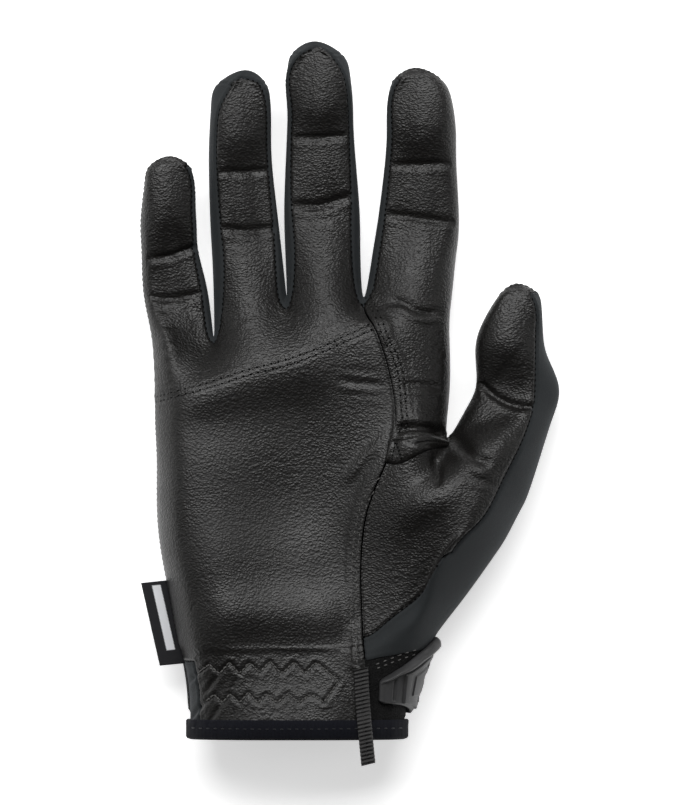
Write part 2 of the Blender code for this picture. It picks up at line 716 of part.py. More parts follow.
def cuff_binding(skin, finish):
    """Knit tape folded over the cuff's edge, outside and in."""
    edge_y = row_sizes(len(ROWS) - 1)["left_y"]
    inner_wall = max(LEATHER_WALL, FABRIC_WALL)
    end_y = edge_y - TRIM_GAP - BINDING_WALL
    far, near = TRIM_GAP + BINDING_WALL, TRIM_GAP
    inner_near = -(inner_wall + TRIM_GAP)
    inner_far = inner_near - BINDING_WALL
    top_y = edge_y + BINDING_HEIGHT
    fold_y = edge_y - TRIM_GAP
    outline = (
        ("top", far, top_y), ("edge", far, edge_y), ("edge", (far + near) / 2, end_y),
        ("edge", (inner_far + inner_near) / 2, end_y), ("edge", inner_far, edge_y),
        ("top", inner_far, top_y), ("top", inner_near, top_y), ("edge", inner_near, fold_y),
        ("edge", near, fold_y), ("top", near, top_y),
    )
    rings = []
    for point, normal in skin.cuff_edge():
        away = point + normal * PALM_DEPTH
        seats = {
            "top": skin.hit((away.x, top_y, away.z), -normal),
            "edge": (point, normal),
        }
        ring = []
        for seat, offset, y in outline:
            point, normal = seats[seat]
            normal = Vector((normal.x, 0.0, normal.z)).normalized()
            ring.append(Vector((point.x, y, point.z)) + normal * offset)
        rings.append(ring)
    co, faces = swept(rings, closed=True)
    return place("cuff_binding", co, outward(co, faces), finish)


def strap_band(angle):
    """Middle height and half width of the strap and its tab, by angle round the wrist."""
    width = STRAP_WIDTH / 2
    palm_side = min(max(angle / TAB_END, 0.0), 1.0)
    middle = (BAND_MIDDLE_SHARE - TAB_DROP_SHARE * palm_side) * PALM_LENGTH
    return middle, width * (1.0 - TAB_TAPER_SHARE * palm_side**TAB_TAPER_POWER)


def band_grid(skin, first, last, steps, across):
    grid = []
    for step in range(steps + 1):
        angle = first + (last - first) * step / steps
        middle, half = strap_band(angle)
        grid.append([
            skin.wrist(middle + half * (2 * c / across - 1), angle) for c in range(across + 1)
        ])
    return grid


def closure_strap(skin, finish):
    grid = band_grid(skin, STRAP_START, STRAP_END, STRAP_STEPS, BAND_STEPS)
    co, faces = sheet_on_skin(grid, STRAP_GAP, STRAP_GAP + STRAP_WALL)
    return place("closure_strap", co, faces, finish)


def strap_tab(skin, finish):
    grid = band_grid(skin, TAB_START, TAB_END, TAB_STEPS, BAND_STEPS)
    co, faces = sheet_on_skin(grid, TRIM_GAP, TRIM_GAP + TAB_WALL)
    return place("strap_tab", co, faces, finish)


def pull_tab(skin, finish):
    """Doubled webbing down the long seam, over the binding and past the cuff."""
    over_binding = BINDING_WALL + TRIM_GAP
    edge_y = row_sizes(len(ROWS) - 1)["left_y"]
    binding_top = edge_y + BINDING_HEIGHT
    middle_x = PULL_SEAT_SHARE * HAND_BREADTH
    above = 3 * PALM_DEPTH
    stations = [PULL_TOP_SHARE * PALM_LENGTH * (1 - step / PULL_STEPS) for step in range(PULL_STEPS)]
    stations = [y for y in stations if y > binding_top + PULL_CLIMB]
    stations += [binding_top + PULL_CLIMB / 2, binding_top + TRIM_GAP, edge_y + TRIM_GAP]
    rings = []
    for y in stations:
        lean = PULL_LEAN_SHARE * HAND_BREADTH * (1 - y / (PULL_TOP_SHARE * PALM_LENGTH)) ** PULL_LEAN_POWER
        raise_by = TRIM_GAP + (over_binding if y < binding_top + PULL_CLIMB / 4 else 0.0)
        left, _ = skin.hit((middle_x + lean - PULL_WIDTH / 2, y, above), (0, 0, -1))
        right, _ = skin.hit((middle_x + lean + PULL_WIDTH / 2, y, above), (0, 0, -1))
        height = max(left.z, right.z) + raise_by
        rings.append(webbing_section(left.x, right.x, y, height))
    last = rings[-1]
    lean_out = Vector((PULL_SWING, -PULL_OVERHANG - last[0].y, -PULL_SAG))
    rings.append([point + lean_out for point in last])
    co, faces = swept(rings, closed=False)
    return place("pull_tab", co, outward(co, faces), finish)


def webbing_section(left, right, y, height):
    return [
        Vector((left, y, height)),
        Vector((right, y, height)),
        Vector((right, y, height + PULL_WALL)),
        Vector((left, y, height + PULL_WALL)),
    ]


def side_label(skin, finish):
    """The woven label standing out of the little-finger side seam."""
    top_y = LABEL_TOP_SHARE * PALM_LENGTH
    rings = []
    for step in range(LABEL_STEPS + 1):
        y = top_y - LABEL_LENGTH * step / LABEL_STEPS
        height = row_sizes(LABEL_ROW)["deep"] / 2
        seam, _ = skin.hit((-HAND_BREADTH, y, height), (1, 0, 0))
        inner = seam.x - TRIM_GAP
        outer = inner - LABEL_WIDTH
        tilt = LABEL_TILT_SHARE * LABEL_WIDTH
        rings.append([
            Vector((inner, y, height - LABEL_WALL / 2)),
            Vector((inner, y, height + LABEL_WALL / 2)),
            Vector((outer, y - tilt, height + LABEL_WALL / 2)),
            Vector((outer, y - tilt, height - LABEL_WALL / 2)),
        ])
    co, faces = swept(rings, closed=False)
    return place("side_label", co, outward(co, faces), finish)


def sewn_panels(finishes):
    co, faces, panels = smooth_skin(SKIN_LEVEL)
    co[co[:, 2] < REST_FLAT, 2] = 0.0
    normals = vertex_normals(co, faces)
    open_edge = {vertex for edge in border_edges(faces) for vertex in edge}
    for name, wall in PANEL_WALLS.items():
        own = [face for face, panel in zip(faces, panels) if panel == name]
        finish = finishes["loop_fabric" if name == "wrist_loop_panel" else
                          "leather" if wall == LEATHER_WALL else "softshell"]
        place(name, *panel_shell(co, normals, own, wall, open_edge), finish)
    return Skin(co, faces, sorted(open_edge))


def main():
    clear_scene()
    finishes = {
        "leather": material("leather", (0.012, 0.011, 0.010), 0.42),
        "softshell": material("softshell", (0.026, 0.030, 0.034), 0.85),
        "loop_fabric": material("loop_fabric", (0.010, 0.010, 0.011), 0.95),
        "knit_binding": material("knit_binding", (0.009, 0.009, 0.013), 0.9),
        "strap_fabric": material("strap_fabric", (0.018, 0.019, 0.021), 0.85),
        "rubber": material("rubber", (0.028, 0.029, 0.031), 0.5),
        "webbing": material("webbing", (0.020, 0.020, 0.022), 0.75),
        "label": material("label", (0.014, 0.014, 0.016), 0.8),
    }
    skin = sewn_panels(finishes)
    cuff_binding(skin, finishes["knit_binding"])
    closure_strap(skin, finishes["strap_fabric"])
    strap_tab(skin, finishes["rubber"])
    pull_tab(skin, finishes["webbing"])
    side_label(skin, finishes["label"])


ORIGIN = np.array(middle_of_outline())
main()
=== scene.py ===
"""Looks of the patrol glove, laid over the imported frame.

The skin is the same smooth surface as the frame's, worked out finer, with its folds, seams
and gathers pressed into it, and cut into the same sewn panels. Stitches, bindings and trims
are laid on that skin. Places that come from the photograph are in its pixels and are turned
into metres by at().
"""

import math

import bpy
import numpy as np
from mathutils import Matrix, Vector
from mathutils.bvhtree import BVHTree
from mathutils.kdtree import KDTree


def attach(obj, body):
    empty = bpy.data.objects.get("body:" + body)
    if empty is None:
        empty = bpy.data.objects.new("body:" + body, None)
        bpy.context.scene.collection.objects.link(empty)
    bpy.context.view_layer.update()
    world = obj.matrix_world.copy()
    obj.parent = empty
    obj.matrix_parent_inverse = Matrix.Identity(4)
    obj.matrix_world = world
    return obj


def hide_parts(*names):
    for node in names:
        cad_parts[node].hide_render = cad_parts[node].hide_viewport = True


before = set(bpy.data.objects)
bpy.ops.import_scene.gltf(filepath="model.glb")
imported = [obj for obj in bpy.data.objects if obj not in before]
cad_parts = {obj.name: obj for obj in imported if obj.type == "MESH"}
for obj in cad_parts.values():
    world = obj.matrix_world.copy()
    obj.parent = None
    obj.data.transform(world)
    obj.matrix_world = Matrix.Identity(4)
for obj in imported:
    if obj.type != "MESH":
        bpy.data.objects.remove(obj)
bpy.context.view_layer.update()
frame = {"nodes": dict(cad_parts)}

# Driving sizes in metres
PINKY_BREADTH = 0.0217
RING_BREADTH = 0.0255
MIDDLE_BREADTH = 0.0270
INDEX_BREADTH = 0.0305
THUMB_BREADTH = 0.0280
PINKY_LENGTH = 0.0640
RING_LENGTH = 0.0868
MIDDLE_LENGTH = 0.0896
INDEX_LENGTH = 0.0805
THUMB_LENGTH = 0.0525
PINKY_DEPTH = 0.0165
RING_DEPTH = 0.0185
MIDDLE_DEPTH = 0.0200
INDEX_DEPTH = 0.0210
THUMB_DEPTH = 0.0230
PALM_LENGTH = 0.1575
PALM_DEPTH = 0.0300
LEATHER_WALL = 0.0013
FABRIC_WALL = 0.0016
BINDING_HEIGHT = 0.0056
BINDING_WALL = 0.0011
STRAP_WIDTH = 0.0265
STRAP_WALL = 0.0018
TAB_WALL = 0.0026
PULL_WIDTH = 0.0050
PULL_WALL = 0.0018
PULL_OVERHANG = 0.0080
PULL_CLIMB = 0.0050
PULL_SAG = 0.0006
LABEL_WIDTH = 0.0092
LABEL_LENGTH = 0.0290
LABEL_WALL = 0.0010
TRIM_GAP = 0.0004
STRAP_GAP = 0.0006

HAND_BREADTH = PINKY_BREADTH + RING_BREADTH + MIDDLE_BREADTH + INDEX_BREADTH

# Where the trims lie: angles round the wrist from the thumb side, and shares of the hand's
# breadth and the palm's length.
TAB_START = math.radians(-24)
TAB_END = math.radians(47)
STRAP_START = math.radians(-163)
STRAP_END = math.radians(-30)
BAND_MIDDLE_SHARE = 0.147
TAB_DROP_SHARE = 0.036
TAB_TAPER_SHARE = 0.70
TAB_TAPER_POWER = 0.8
PULL_SEAT_SHARE = 0.036
PULL_LEAN_SHARE = 0.016
PULL_LEAN_POWER = 1.5
PULL_TOP_SHARE = 0.162
LABEL_TOP_SHARE = 0.355
LABEL_TILT_SHARE = 0.10

# The skin's own shape: the rounds that fit it to its points, the height under which the
# resting back is flat, and the shape of a finger's section and tip.
FIT_ROUNDS = 24
REST_FLAT = 0.0004
SQUARENESS = 2.2
DIGIT_SEAT = 0.43
BACK_CORNER = 0.72
ROOT_CREST = 1.18
ROOT_DRAW = 0.01
THUMB_SPLIT = 0.5
STRAP_SEAT = (STRAP_WALL + STRAP_GAP + TRIM_GAP) / PALM_DEPTH
TIP_ARC = (0.0, 0.0, 0.0, 0.0, 0.075, 0.022)
TIP_CROWN = (1.0, 1.0, 1.0, 1.0, 0.72, 0.60)

# The digits. root_x is a share of the hand's breadth from its middle, root_y a share of the
# palm's length from the cuff, lean a share of the digit's breadth, and both lifts are shares
# of its depth.
DIGIT_COLUMNS = ("breadth", "length", "depth", "root_x", "root_y", "lean", "root_lift", "tip_lift")
DIGITS = {
    "pinky": (PINKY_BREADTH, PINKY_LENGTH, PINKY_DEPTH, None, 0.893, -0.210, 0.05, 0.45),
    "ring": (RING_BREADTH, RING_LENGTH, RING_DEPTH, None, 0.938, -0.068, 0.03, 0.35),
    "middle": (MIDDLE_BREADTH, MIDDLE_LENGTH, MIDDLE_DEPTH, None, 0.984, -0.136, 0.03, 0.35),
    "index": (INDEX_BREADTH, INDEX_LENGTH, INDEX_DEPTH, None, 0.984, 0.098, 0.05, 0.40),
    "thumb": (THUMB_BREADTH, THUMB_LENGTH, THUMB_DEPTH, 0.493, 0.682, 0.238, 0.20, 0.45),
}

# Sections up each digit. along is a share of its length, left and right are shares of its
# breadth from its axis, deep and dent are shares of its depth, and seam_left and seam_right
# say how far across the section its front seams lie, from -1 to 1.
SECTION_COLUMNS = ("along", "left", "right", "deep", "dent", "seam_left", "seam_right")
SECTIONS = {
    "pinky": (
        (0.230, 0.581, 0.452, 1.00, 0.05, -0.75, 0.85),
        (0.459, 0.570, 0.330, 0.94, 0.04, -0.75, 0.93),
        (0.590, 0.560, 0.325, 0.90, 0.00, -0.75, 0.93),
        (0.716, 0.515, 0.335, 0.86, 0.00, -0.75, 0.93),
        (0.852, 0.440, 0.345, 0.76, 0.00, -0.75, 0.93),
        (0.940, 0.345, 0.300, 0.50, 0.00, -0.75, 0.80),
    ),
    "ring": (
        (0.170, 0.502, 0.477, 1.02, 0.00, -0.71, 0.80),
        (0.360, 0.523, 0.408, 0.97, 0.05, -0.71, 0.88),
        (0.593, 0.530, 0.325, 0.90, 0.05, -0.75, 0.93),
        (0.738, 0.513, 0.315, 0.86, 0.00, -0.76, 0.93),
        (0.863, 0.480, 0.330, 0.74, 0.00, -0.64, 0.86),
        (0.944, 0.375, 0.280, 0.46, 0.00, -0.40, 0.72),
    ),
    "middle": (
        (0.184, 0.495, 0.479, 1.02, 0.00, -0.77, 0.80),
        (0.379, 0.474, 0.487, 0.97, 0.05, -0.84, 0.81),
        (0.621, 0.395, 0.445, 0.88, 0.05, -0.93, 0.90),
        (0.750, 0.375, 0.452, 0.84, 0.00, -0.93, 0.88),
        (0.875, 0.365, 0.440, 0.74, 0.00, -0.93, 0.76),
        (0.949, 0.305, 0.340, 0.46, 0.00, -0.60, 0.55),
    ),
    "index": (
        (0.170, 0.413, 0.541, 1.04, 0.00, -0.88, 0.75),
        (0.335, 0.360, 0.560, 0.99, 0.05, -0.88, 0.75),
        (0.574, 0.303, 0.507, 0.90, 0.05, -0.90, 0.75),
        (0.726, 0.295, 0.486, 0.86, 0.00, -0.90, 0.75),
        (0.865, 0.298, 0.421, 0.74, 0.00, -0.90, 0.75),
        (0.948, 0.240, 0.290, 0.46, 0.00, -0.75, 0.75),
    ),
    "thumb": (
        (0.140, 0.455, 0.672, 1.08, 0.00, -0.75, 0.51),
        (0.320, 0.350, 0.674, 1.00, 0.08, -0.75, 0.45),
        (0.520, 0.408, 0.490, 0.94, 0.00, -0.75, 0.69),
        (0.687, 0.398, 0.395, 0.86, 0.00, -0.75, 0.80),
        (0.847, 0.283, 0.343, 0.72, 0.00, -0.75, 0.74),
        (0.940, 0.175, 0.250, 0.46, 0.00, -0.75, 0.60),
    ),
}

# The webs between digits, from the little finger's side: web, front and back are shares of
# the palm's length from the cuff, and the heights are shares of the palm's depth.
WEB_COLUMNS = ("web", "front", "back", "front_height", "web_height", "back_height")
WEBS = {
    2: (0.896, 0.884, 0.884, 0.52, 0.32, 0.12),
    4: (0.991, 0.958, 0.950, 0.56, 0.32, 0.10),
    6: (0.984, 0.966, 0.960, 0.60, 0.34, 0.10),
    8: (0.674, 0.655, 0.640, 0.80, 0.46, 0.16),
}
THUMB_WEB_SHARE = 0.323

# Rows across the palm, from the finger roots to the cuff. x values are shares of the hand's
# breadth from its middle, y values shares of the palm's length from the cuff. deep, lift and
# edge, the radius of the row's two edges, are shares of the palm's depth. seam is the long
# seam beside the thumb's ball, border the seam between the thumb's leather and fabric, and
# bow bends a row between those points.
ROW_COLUMNS = (
    "left_x", "left_y", "bow_left", "seam_x", "seam_y",
    "bow_right", "border_x", "border_y", "right_x", "right_y", "deep", "lift", "edge",
)
ROWS = (
    (-0.664, 0.889, 0.000, 0.050, 0.966, 0.000, 0.310, 0.975, 0.339, 0.984, 0.82, 0.00, 0.52),
    (-0.654, 0.764, -0.008, 0.085, 0.909, 0.000, 0.300, 0.900, 0.331, 0.909, 0.92, 0.00, 0.52),
    (-0.652, 0.691, 0.000, 0.139, 0.787, 0.000, 0.300, 0.775, 0.332, 0.782, 0.97, 0.00, 0.52),
    (-0.647, 0.618, 0.000, 0.139, 0.660, 0.000, 0.567, 0.653, 0.654, 0.671, 1.00, 0.00, 0.52),
    (-0.647, 0.522, 0.000, 0.069, 0.540, -0.004, 0.520, 0.591, 0.600, 0.558, 1.00, 0.00, 0.52),
    (-0.635, 0.427, 0.000, 0.038, 0.435, -0.004, 0.483, 0.540, 0.567, 0.509, 1.00, 0.00, 0.53),
    (-0.607, 0.329, 0.000, 0.035, 0.335, -0.008, 0.426, 0.482, 0.523, 0.453, 1.02, 0.02, 0.56),
    (-0.580, 0.236, 0.000, 0.042, 0.231, -0.022, 0.339, 0.418, 0.471, 0.400, 1.01, STRAP_SEAT, 0.62),
    (-0.567, 0.204, 0.000, 0.045, 0.207, -0.012, 0.296, 0.311, 0.366, 0.304, 1.07, STRAP_SEAT, 0.70),
    (-0.555, 0.176, 0.000, 0.048, 0.180, 0.000, 0.216, 0.200, 0.257, 0.204, 1.12, STRAP_SEAT, 0.80),
    (-0.538, 0.111, 0.000, 0.052, 0.111, 0.000, 0.170, 0.111, 0.206, 0.111, 1.16, STRAP_SEAT, 0.92),
    (-0.535, 0.042, 0.000, 0.050, 0.042, 0.000, 0.146, 0.042, 0.179, 0.042, 1.18, STRAP_SEAT, 1.00),
    (-0.535, 0.012, 0.000, 0.050, 0.012, 0.000, 0.146, 0.012, 0.179, 0.012, 1.18, STRAP_SEAT, 1.00),
)
ROOT_ROW, WEB_ROW, LABEL_ROW, WEDGE_ROW, LOOP_ROW = 0, 3, 6, 7, 9
LEFT_SHARES = (0.055, 0.145, 0.290, 0.460, 0.635, 0.820)
RIGHT_SHARES = (0.215, 0.435, 0.700)
LAST_COLUMN = 10
THUMB_COLUMN = 8

# Soft swells and hollows of the palm: places and radii are shares of the hand's breadth and
# the palm's length, rise is a share of the palm's depth.
SWELL_COLUMNS = ("x", "y", "across", "along", "rise")
SWELLS = {
    "thumb_ball": (0.33, 0.53, 0.27, 0.17, 0.36),
    "outer_heel": (-0.49, 0.40, 0.19, 0.23, 0.12),
    "hollow": (-0.10, 0.60, 0.26, 0.20, -0.12),
    "finger_pads": (-0.33, 0.84, 0.36, 0.07, 0.06),
    "gathered_wrist": (-0.22, 0.150, 0.26, 0.045, -0.10),
}

LEATHER_PANELS = ("palm_panel", "finger_panel", "index_panel", "thumb_panel")
FABRIC_PANELS = ("hand_back", "thumb_side", "fourchette_pinky_ring", "fourchette_ring_middle",
                 "fourchette_middle_index", "wrist_loop_panel")
PANEL_WALLS = {**dict.fromkeys(LEATHER_PANELS, LEATHER_WALL),
               **dict.fromkeys(FABRIC_PANELS, FABRIC_WALL)}
PANELS = tuple(PANEL_WALLS)


def digit_sizes(name):
    """A digit's sizes by name, with its root placed beside its neighbour's."""
    sizes = dict(zip(DIGIT_COLUMNS, DIGITS[name]))
    if sizes["root_x"] is None:
        start = row_sizes(ROOT_ROW)["left_x"]
        for other in DIGITS:
            if other == name:
                break
            start += DIGITS[other][0]
        sizes["root_x"] = start + sizes["breadth"] / 2
    else:
        sizes["root_x"] *= HAND_BREADTH
    sizes["root_y"] *= PALM_LENGTH
    return sizes


def row_sizes(row):
    """A palm row in metres."""
    sizes = dict(zip(ROW_COLUMNS, ROWS[row]))
    for column in sizes:
        if column.endswith("_x"):
            sizes[column] *= HAND_BREADTH
        elif column in ("deep", "lift", "edge"):
            sizes[column] *= PALM_DEPTH
        else:
            sizes[column] *= PALM_LENGTH
    return sizes


def digit_edge(name, side):
    """The furthest that a digit reaches to one side, in x."""
    sizes = digit_sizes(name)
    reach = []
    for values in SECTIONS[name]:
        section = dict(zip(SECTION_COLUMNS, values))
        axis = sizes["root_x"] + sizes["lean"] * sizes["breadth"] * section["along"]
        reach.append(axis + (-section["left"] if side < 0 else section["right"]) * sizes["breadth"])
    return min(reach) if side < 0 else max(reach)


def middle_of_outline():
    """The middle of the finished glove's outline, which becomes the origin."""
    middle = digit_sizes("middle")
    top = middle["root_y"] + middle["length"]
    x = (digit_edge("pinky", -1) + digit_edge("thumb", 1)) / 2
    return Vector((x, (top - PULL_OVERHANG) / 2, 0.0))


def rounded(offset):
    """The height of a rounded section at a place from -1 to 1 across it, as a share."""
    return (1.0 - min(abs(offset), 1.0) ** SQUARENESS) ** (1.0 / SQUARENESS)


def palm_swell(x, y):
    """How far the swells and hollows raise the palm's front at a place."""
    total = 0.0
    for values in SWELLS.values():
        swell = dict(zip(SWELL_COLUMNS, values))
        across = (x / HAND_BREADTH - swell["x"]) / swell["across"]
        along = (y / PALM_LENGTH - swell["y"]) / swell["along"]
        total += swell["rise"] * PALM_DEPTH * math.exp(-across * across - along * along)
    return total


def palm_heights(sizes, x, y, left, right):
    """Front and back height of the palm at a place between a row's two edges."""
    inside = min(x - left, right - x) / sizes["edge"]
    round_off = math.sqrt(1.0 - (1.0 - min(max(inside, 0.0), 1.0)) ** 2)
    front = sizes["lift"] + sizes["deep"] + palm_swell(x, y)
    middle = (sizes["lift"] + sizes["deep"]) / 2
    return middle + (front - middle) * round_off, middle + (sizes["lift"] - middle) * round_off


def palm_row(row):
    """Named points of one palm row: c for the front columns, b for the back, l and r for the sides."""
    sizes = row_sizes(row)
    last = THUMB_COLUMN if row < WEB_ROW else LAST_COLUMN
    flat = {}
    for column in range(last + 1):
        if column < 6:
            share, start, end = LEFT_SHARES[column], "left", "seam"
            bow = sizes["bow_left"]
        elif column == 6:
            share, start, end, bow = 0.0, "seam", "border", 0.0
        elif column == last:
            share, start, end, bow = 1.0, "seam", "border", 0.0
        else:
            share = THUMB_SPLIT if last == THUMB_COLUMN else RIGHT_SHARES[column - 7]
            start, end, bow = "seam", "border", sizes["bow_right"]
        x = sizes[start + "_x"] + share * (sizes[end + "_x"] - sizes[start + "_x"])
        y = sizes[start + "_y"] + share * (sizes[end + "_y"] - sizes[start + "_y"])
        flat[column] = (x, y + bow * 4 * share * (1 - share))
    middle = (sizes["lift"] + sizes["deep"]) / 2
    points = {
        ("l", row): (sizes["left_x"], sizes["left_y"], middle),
        ("r", row): (sizes["right_x"], sizes["right_y"], middle),
    }
    for column, (x, y) in flat.items():
        front, back = palm_heights(sizes, x, y, sizes["left_x"], sizes["right_x"])
        points["c", row, column] = (x, y, front)
        points["b", row, column] = (x, y, back)
    return points


def root_row():
    """The palm's first row, whose points are the finger roots and the webs between them."""
    points = palm_row(ROOT_ROW)
    edge = row_sizes(ROOT_ROW)["left_x"]
    for column, name in ((1, "pinky"), (3, "ring"), (5, "middle"), (7, "index")):
        sizes = digit_sizes(name)
        edge += sizes["breadth"]
        y = sizes["root_y"] - ROOT_DRAW * PALM_LENGTH
        points["c", ROOT_ROW, column] = (sizes["root_x"], y, ROOT_CREST * sizes["depth"])
        points["b", ROOT_ROW, column] = (sizes["root_x"], y, 0.0)
        if name != "index":
            points.update(web_points(column + 1, edge, ROOT_ROW))
    return points


def web_points(column, x, row):
    """Front, middle and back point of the web between two digits."""
    web = dict(zip(WEB_COLUMNS, WEBS[column]))
    return {
        ("c", row, column): (x, web["front"] * PALM_LENGTH, web["front_height"] * PALM_DEPTH),
        ("m", column): (x, web["web"] * PALM_LENGTH, web["web_height"] * PALM_DEPTH),
        ("b", row, column): (x, web["back"] * PALM_LENGTH, web["back_height"] * PALM_DEPTH),
    }


def digit_rings(name):
    """Rings of eight points up a digit, and its tip point."""
    sizes = digit_sizes(name)
    points = {}
    for ring, values in enumerate(SECTIONS[name], start=1):
        section = dict(zip(SECTION_COLUMNS, values))
        along = section["along"]
        axis = sizes["root_x"] + sizes["lean"] * sizes["breadth"] * along
        left = axis - section["left"] * sizes["breadth"]
        right = axis + section["right"] * sizes["breadth"]
        y = sizes["root_y"] + along * sizes["length"]
        lift = sizes["root_lift"] + (sizes["tip_lift"] - sizes["root_lift"]) * along**2
        centre = (lift + DIGIT_SEAT) * sizes["depth"]
        half = section["deep"] * sizes["depth"] / 2
        middle, span = (left + right) / 2, (right - left) / 2
        crown, arc = TIP_CROWN[ring - 1], TIP_ARC[ring - 1] * sizes["length"]
        dent = section["dent"] * sizes["depth"]
        points[name, ring, "ML"] = (left, y, centre)
        points[name, ring, "MR"] = (right, y, centre)
        for corner, offset in (("FL", section["seam_left"]), ("FR", section["seam_right"])):
            height = centre + half * rounded(offset) - dent * rounded(offset)
            points[name, ring, corner] = (middle + offset * span, y, height)
        for corner, offset in (("BL", -BACK_CORNER), ("BR", BACK_CORNER)):
            points[name, ring, corner] = (middle + offset * span, y, centre - half * rounded(offset))
        points[name, ring, "FM"] = (middle, y + arc, centre + half * crown - dent)
        points[name, ring, "BM"] = (middle, y + arc, centre - half * crown)
    tip_x = sizes["root_x"] + sizes["lean"] * sizes["breadth"]
    tip_z = (sizes["tip_lift"] + DIGIT_SEAT) * sizes["depth"]
    points[name, "tip"] = (tip_x, sizes["root_y"] + sizes["length"], tip_z)
    return points


# The panels on the left and right side of each digit, and a digit's corners, going round from
# its front left.
DIGIT_SIDES = {
    "pinky": ("hand_back", "fourchette_pinky_ring"),
    "ring": ("fourchette_pinky_ring", "fourchette_ring_middle"),
    "middle": ("fourchette_ring_middle", "fourchette_middle_index"),
    "index": ("fourchette_middle_index", "index_panel"),
    "thumb": ("thumb_panel", "thumb_side"),
}
CORNERS = ("FL", "FM", "FR", "MR", "BR", "BM", "BL", "ML")


def digit_panels(name):
    """The panel of each strip up a digit, by the two corners that it lies between."""
    left, right = DIGIT_SIDES[name]
    front = {"index": "index_panel", "thumb": "thumb_panel"}.get(name, "finger_panel")
    back = "thumb_side" if name == "thumb" else "hand_back"
    front_side = "finger_panel" if name == "pinky" else left
    strips = (front, front, right, right, back, back, left, front_side)
    return dict(zip(zip(CORNERS, CORNERS[1:] + CORNERS[:1]), strips))


def base_keys(name, column, row):
    """The palm points that a digit's first ring joins."""
    left = ("l", row) if name == "pinky" else ("m", column)
    right = ("r", row) if name in ("index", "thumb") else ("m", column + 2)
    front = [("c", row, column + step) for step in (0, 1, 2)]
    back = [("b", row, column + step) for step in (2, 1, 0)]
    return dict(zip(CORNERS, (*front, right, *back, left)))


def digit_faces(name, column, row):
    """The quads up a digit and over its tip, with their panels."""
    faces = []
    below = base_keys(name, column, row)
    strips = digit_panels(name)
    for ring in range(1, len(SECTIONS[name]) + 1):
        above = {corner: (name, ring, corner) for corner in below}
        for (first, second), panel in strips.items():
            faces.append(((below[first], below[second], above[second], above[first]), panel))
        below = above
    tip = (name, "tip")
    wraps = name in ("index", "thumb", "pinky")
    front = strips["FL", "FM"] if wraps else "hand_back"
    back = strips["BM", "BL"]
    faces.append(((below["FL"], below["FM"], tip, below["ML"]), front))
    faces.append(((below["FM"], below["FR"], below["MR"], tip), front))
    faces.append(((below["ML"], tip, below["BM"], below["BL"]), back))
    faces.append(((tip, below["MR"], below["BR"], below["BM"]), back))
    return faces


def palm_panel_name(row, column):
    """The front panel between two rows and two columns."""
    if column < 6:
        return "finger_panel" if row == ROOT_ROW else "palm_panel"
    if row < WEB_ROW:
        return "index_panel"
    if row < WEDGE_ROW:
        return "thumb_panel"
    return "thumb_side" if row < LOOP_ROW else "wrist_loop_panel"


def palm_faces():
    """The quads of the palm's front, back and two sides, with their panels."""
    faces = []
    for row in range(len(ROWS) - 1):
        below = row + 1
        last = THUMB_COLUMN if row < WEB_ROW else LAST_COLUMN
        for column in range(last):
            front = (("c", below, column), ("c", below, column + 1),
                     ("c", row, column + 1), ("c", row, column))
            back = (("b", row, column), ("b", row, column + 1),
                    ("b", below, column + 1), ("b", below, column))
            faces.append((front, palm_panel_name(row, column)))
            faces.append((back, "hand_back"))
        left_front = palm_panel_name(row, 0) if row < LOOP_ROW else "hand_back"
        faces.append(((("l", below), ("c", below, 0), ("c", row, 0), ("l", row)), left_front))
        faces.append(((("b", below, 0), ("l", below), ("l", row), ("b", row, 0)), "hand_back"))
        side = right_side_keys(row)
        side_below = right_side_keys(below, upper=row < WEB_ROW)
        if row < WEB_ROW:
            front_panel, back_panel = "index_panel", "index_panel"
        elif row < LOOP_ROW:
            front_panel, back_panel = "thumb_side", "thumb_side"
        else:
            front_panel, back_panel = "wrist_loop_panel", "hand_back"
        faces.append(((side_below[0], side_below[1], side[1], side[0]), front_panel))
        faces.append(((side_below[1], side_below[2], side[2], side[1]), back_panel))
    return faces


def right_side_keys(row, upper=None):
    """Front, side and back point at the right edge of a row; the web row has two such edges."""
    if upper is None:
        upper = row < WEB_ROW
    if upper and row == WEB_ROW:
        return ("c", row, THUMB_COLUMN), ("m", THUMB_COLUMN), ("b", row, THUMB_COLUMN)
    column = THUMB_COLUMN if row < WEB_ROW else LAST_COLUMN
    return ("c", row, column), ("r", row), ("b", row, column)


def cage():
    """All the skin's points by name, and its faces with their panels."""
    points = root_row()
    for row in range(1, len(ROWS)):
        points.update(palm_row(row))
    points.update(web_points(THUMB_COLUMN, THUMB_WEB_SHARE * HAND_BREADTH, WEB_ROW))
    faces = palm_faces()
    for name, column in (("pinky", 0), ("ring", 2), ("middle", 4), ("index", 6)):
        points.update(digit_rings(name))
        faces += digit_faces(name, column, ROOT_ROW)
    points.update(digit_rings("thumb"))
    faces += digit_faces("thumb", THUMB_COLUMN, WEB_ROW)
    return points, faces


# How one pixel of the photograph maps to the frame, and the picture's middle in pixels.
PIXEL = 0.00035
PIXEL_ZERO = (349.2, 402.0)
PICTURE = (700, 805)
LENS = 600.0
SENSOR = 36.0
FOCUS_HEIGHT = 0.014

# The finer skin: its two levels of smoothing, outside and inside, and how far a seam reaches.
FINE_LEVEL = 4
INNER_LEVEL = 2
SEAM_REACH = 0.0065

# Folds of the front fade out where the skin turns away, between these upward normals.
FACING = (0.05, 0.45)


def at(pixels):
    """Places of the photograph in the frame's x and y."""
    pixels = np.asarray(pixels, dtype=float)
    return np.stack([(pixels[..., 0] - PIXEL_ZERO[0]) * PIXEL,
                     (PIXEL_ZERO[1] - pixels[..., 1]) * PIXEL], axis=-1)


def smooth_step(low, high, values):
    share = np.clip((values - low) / (high - low), 0.0, 1.0)
    return share * share * (3 - 2 * share)


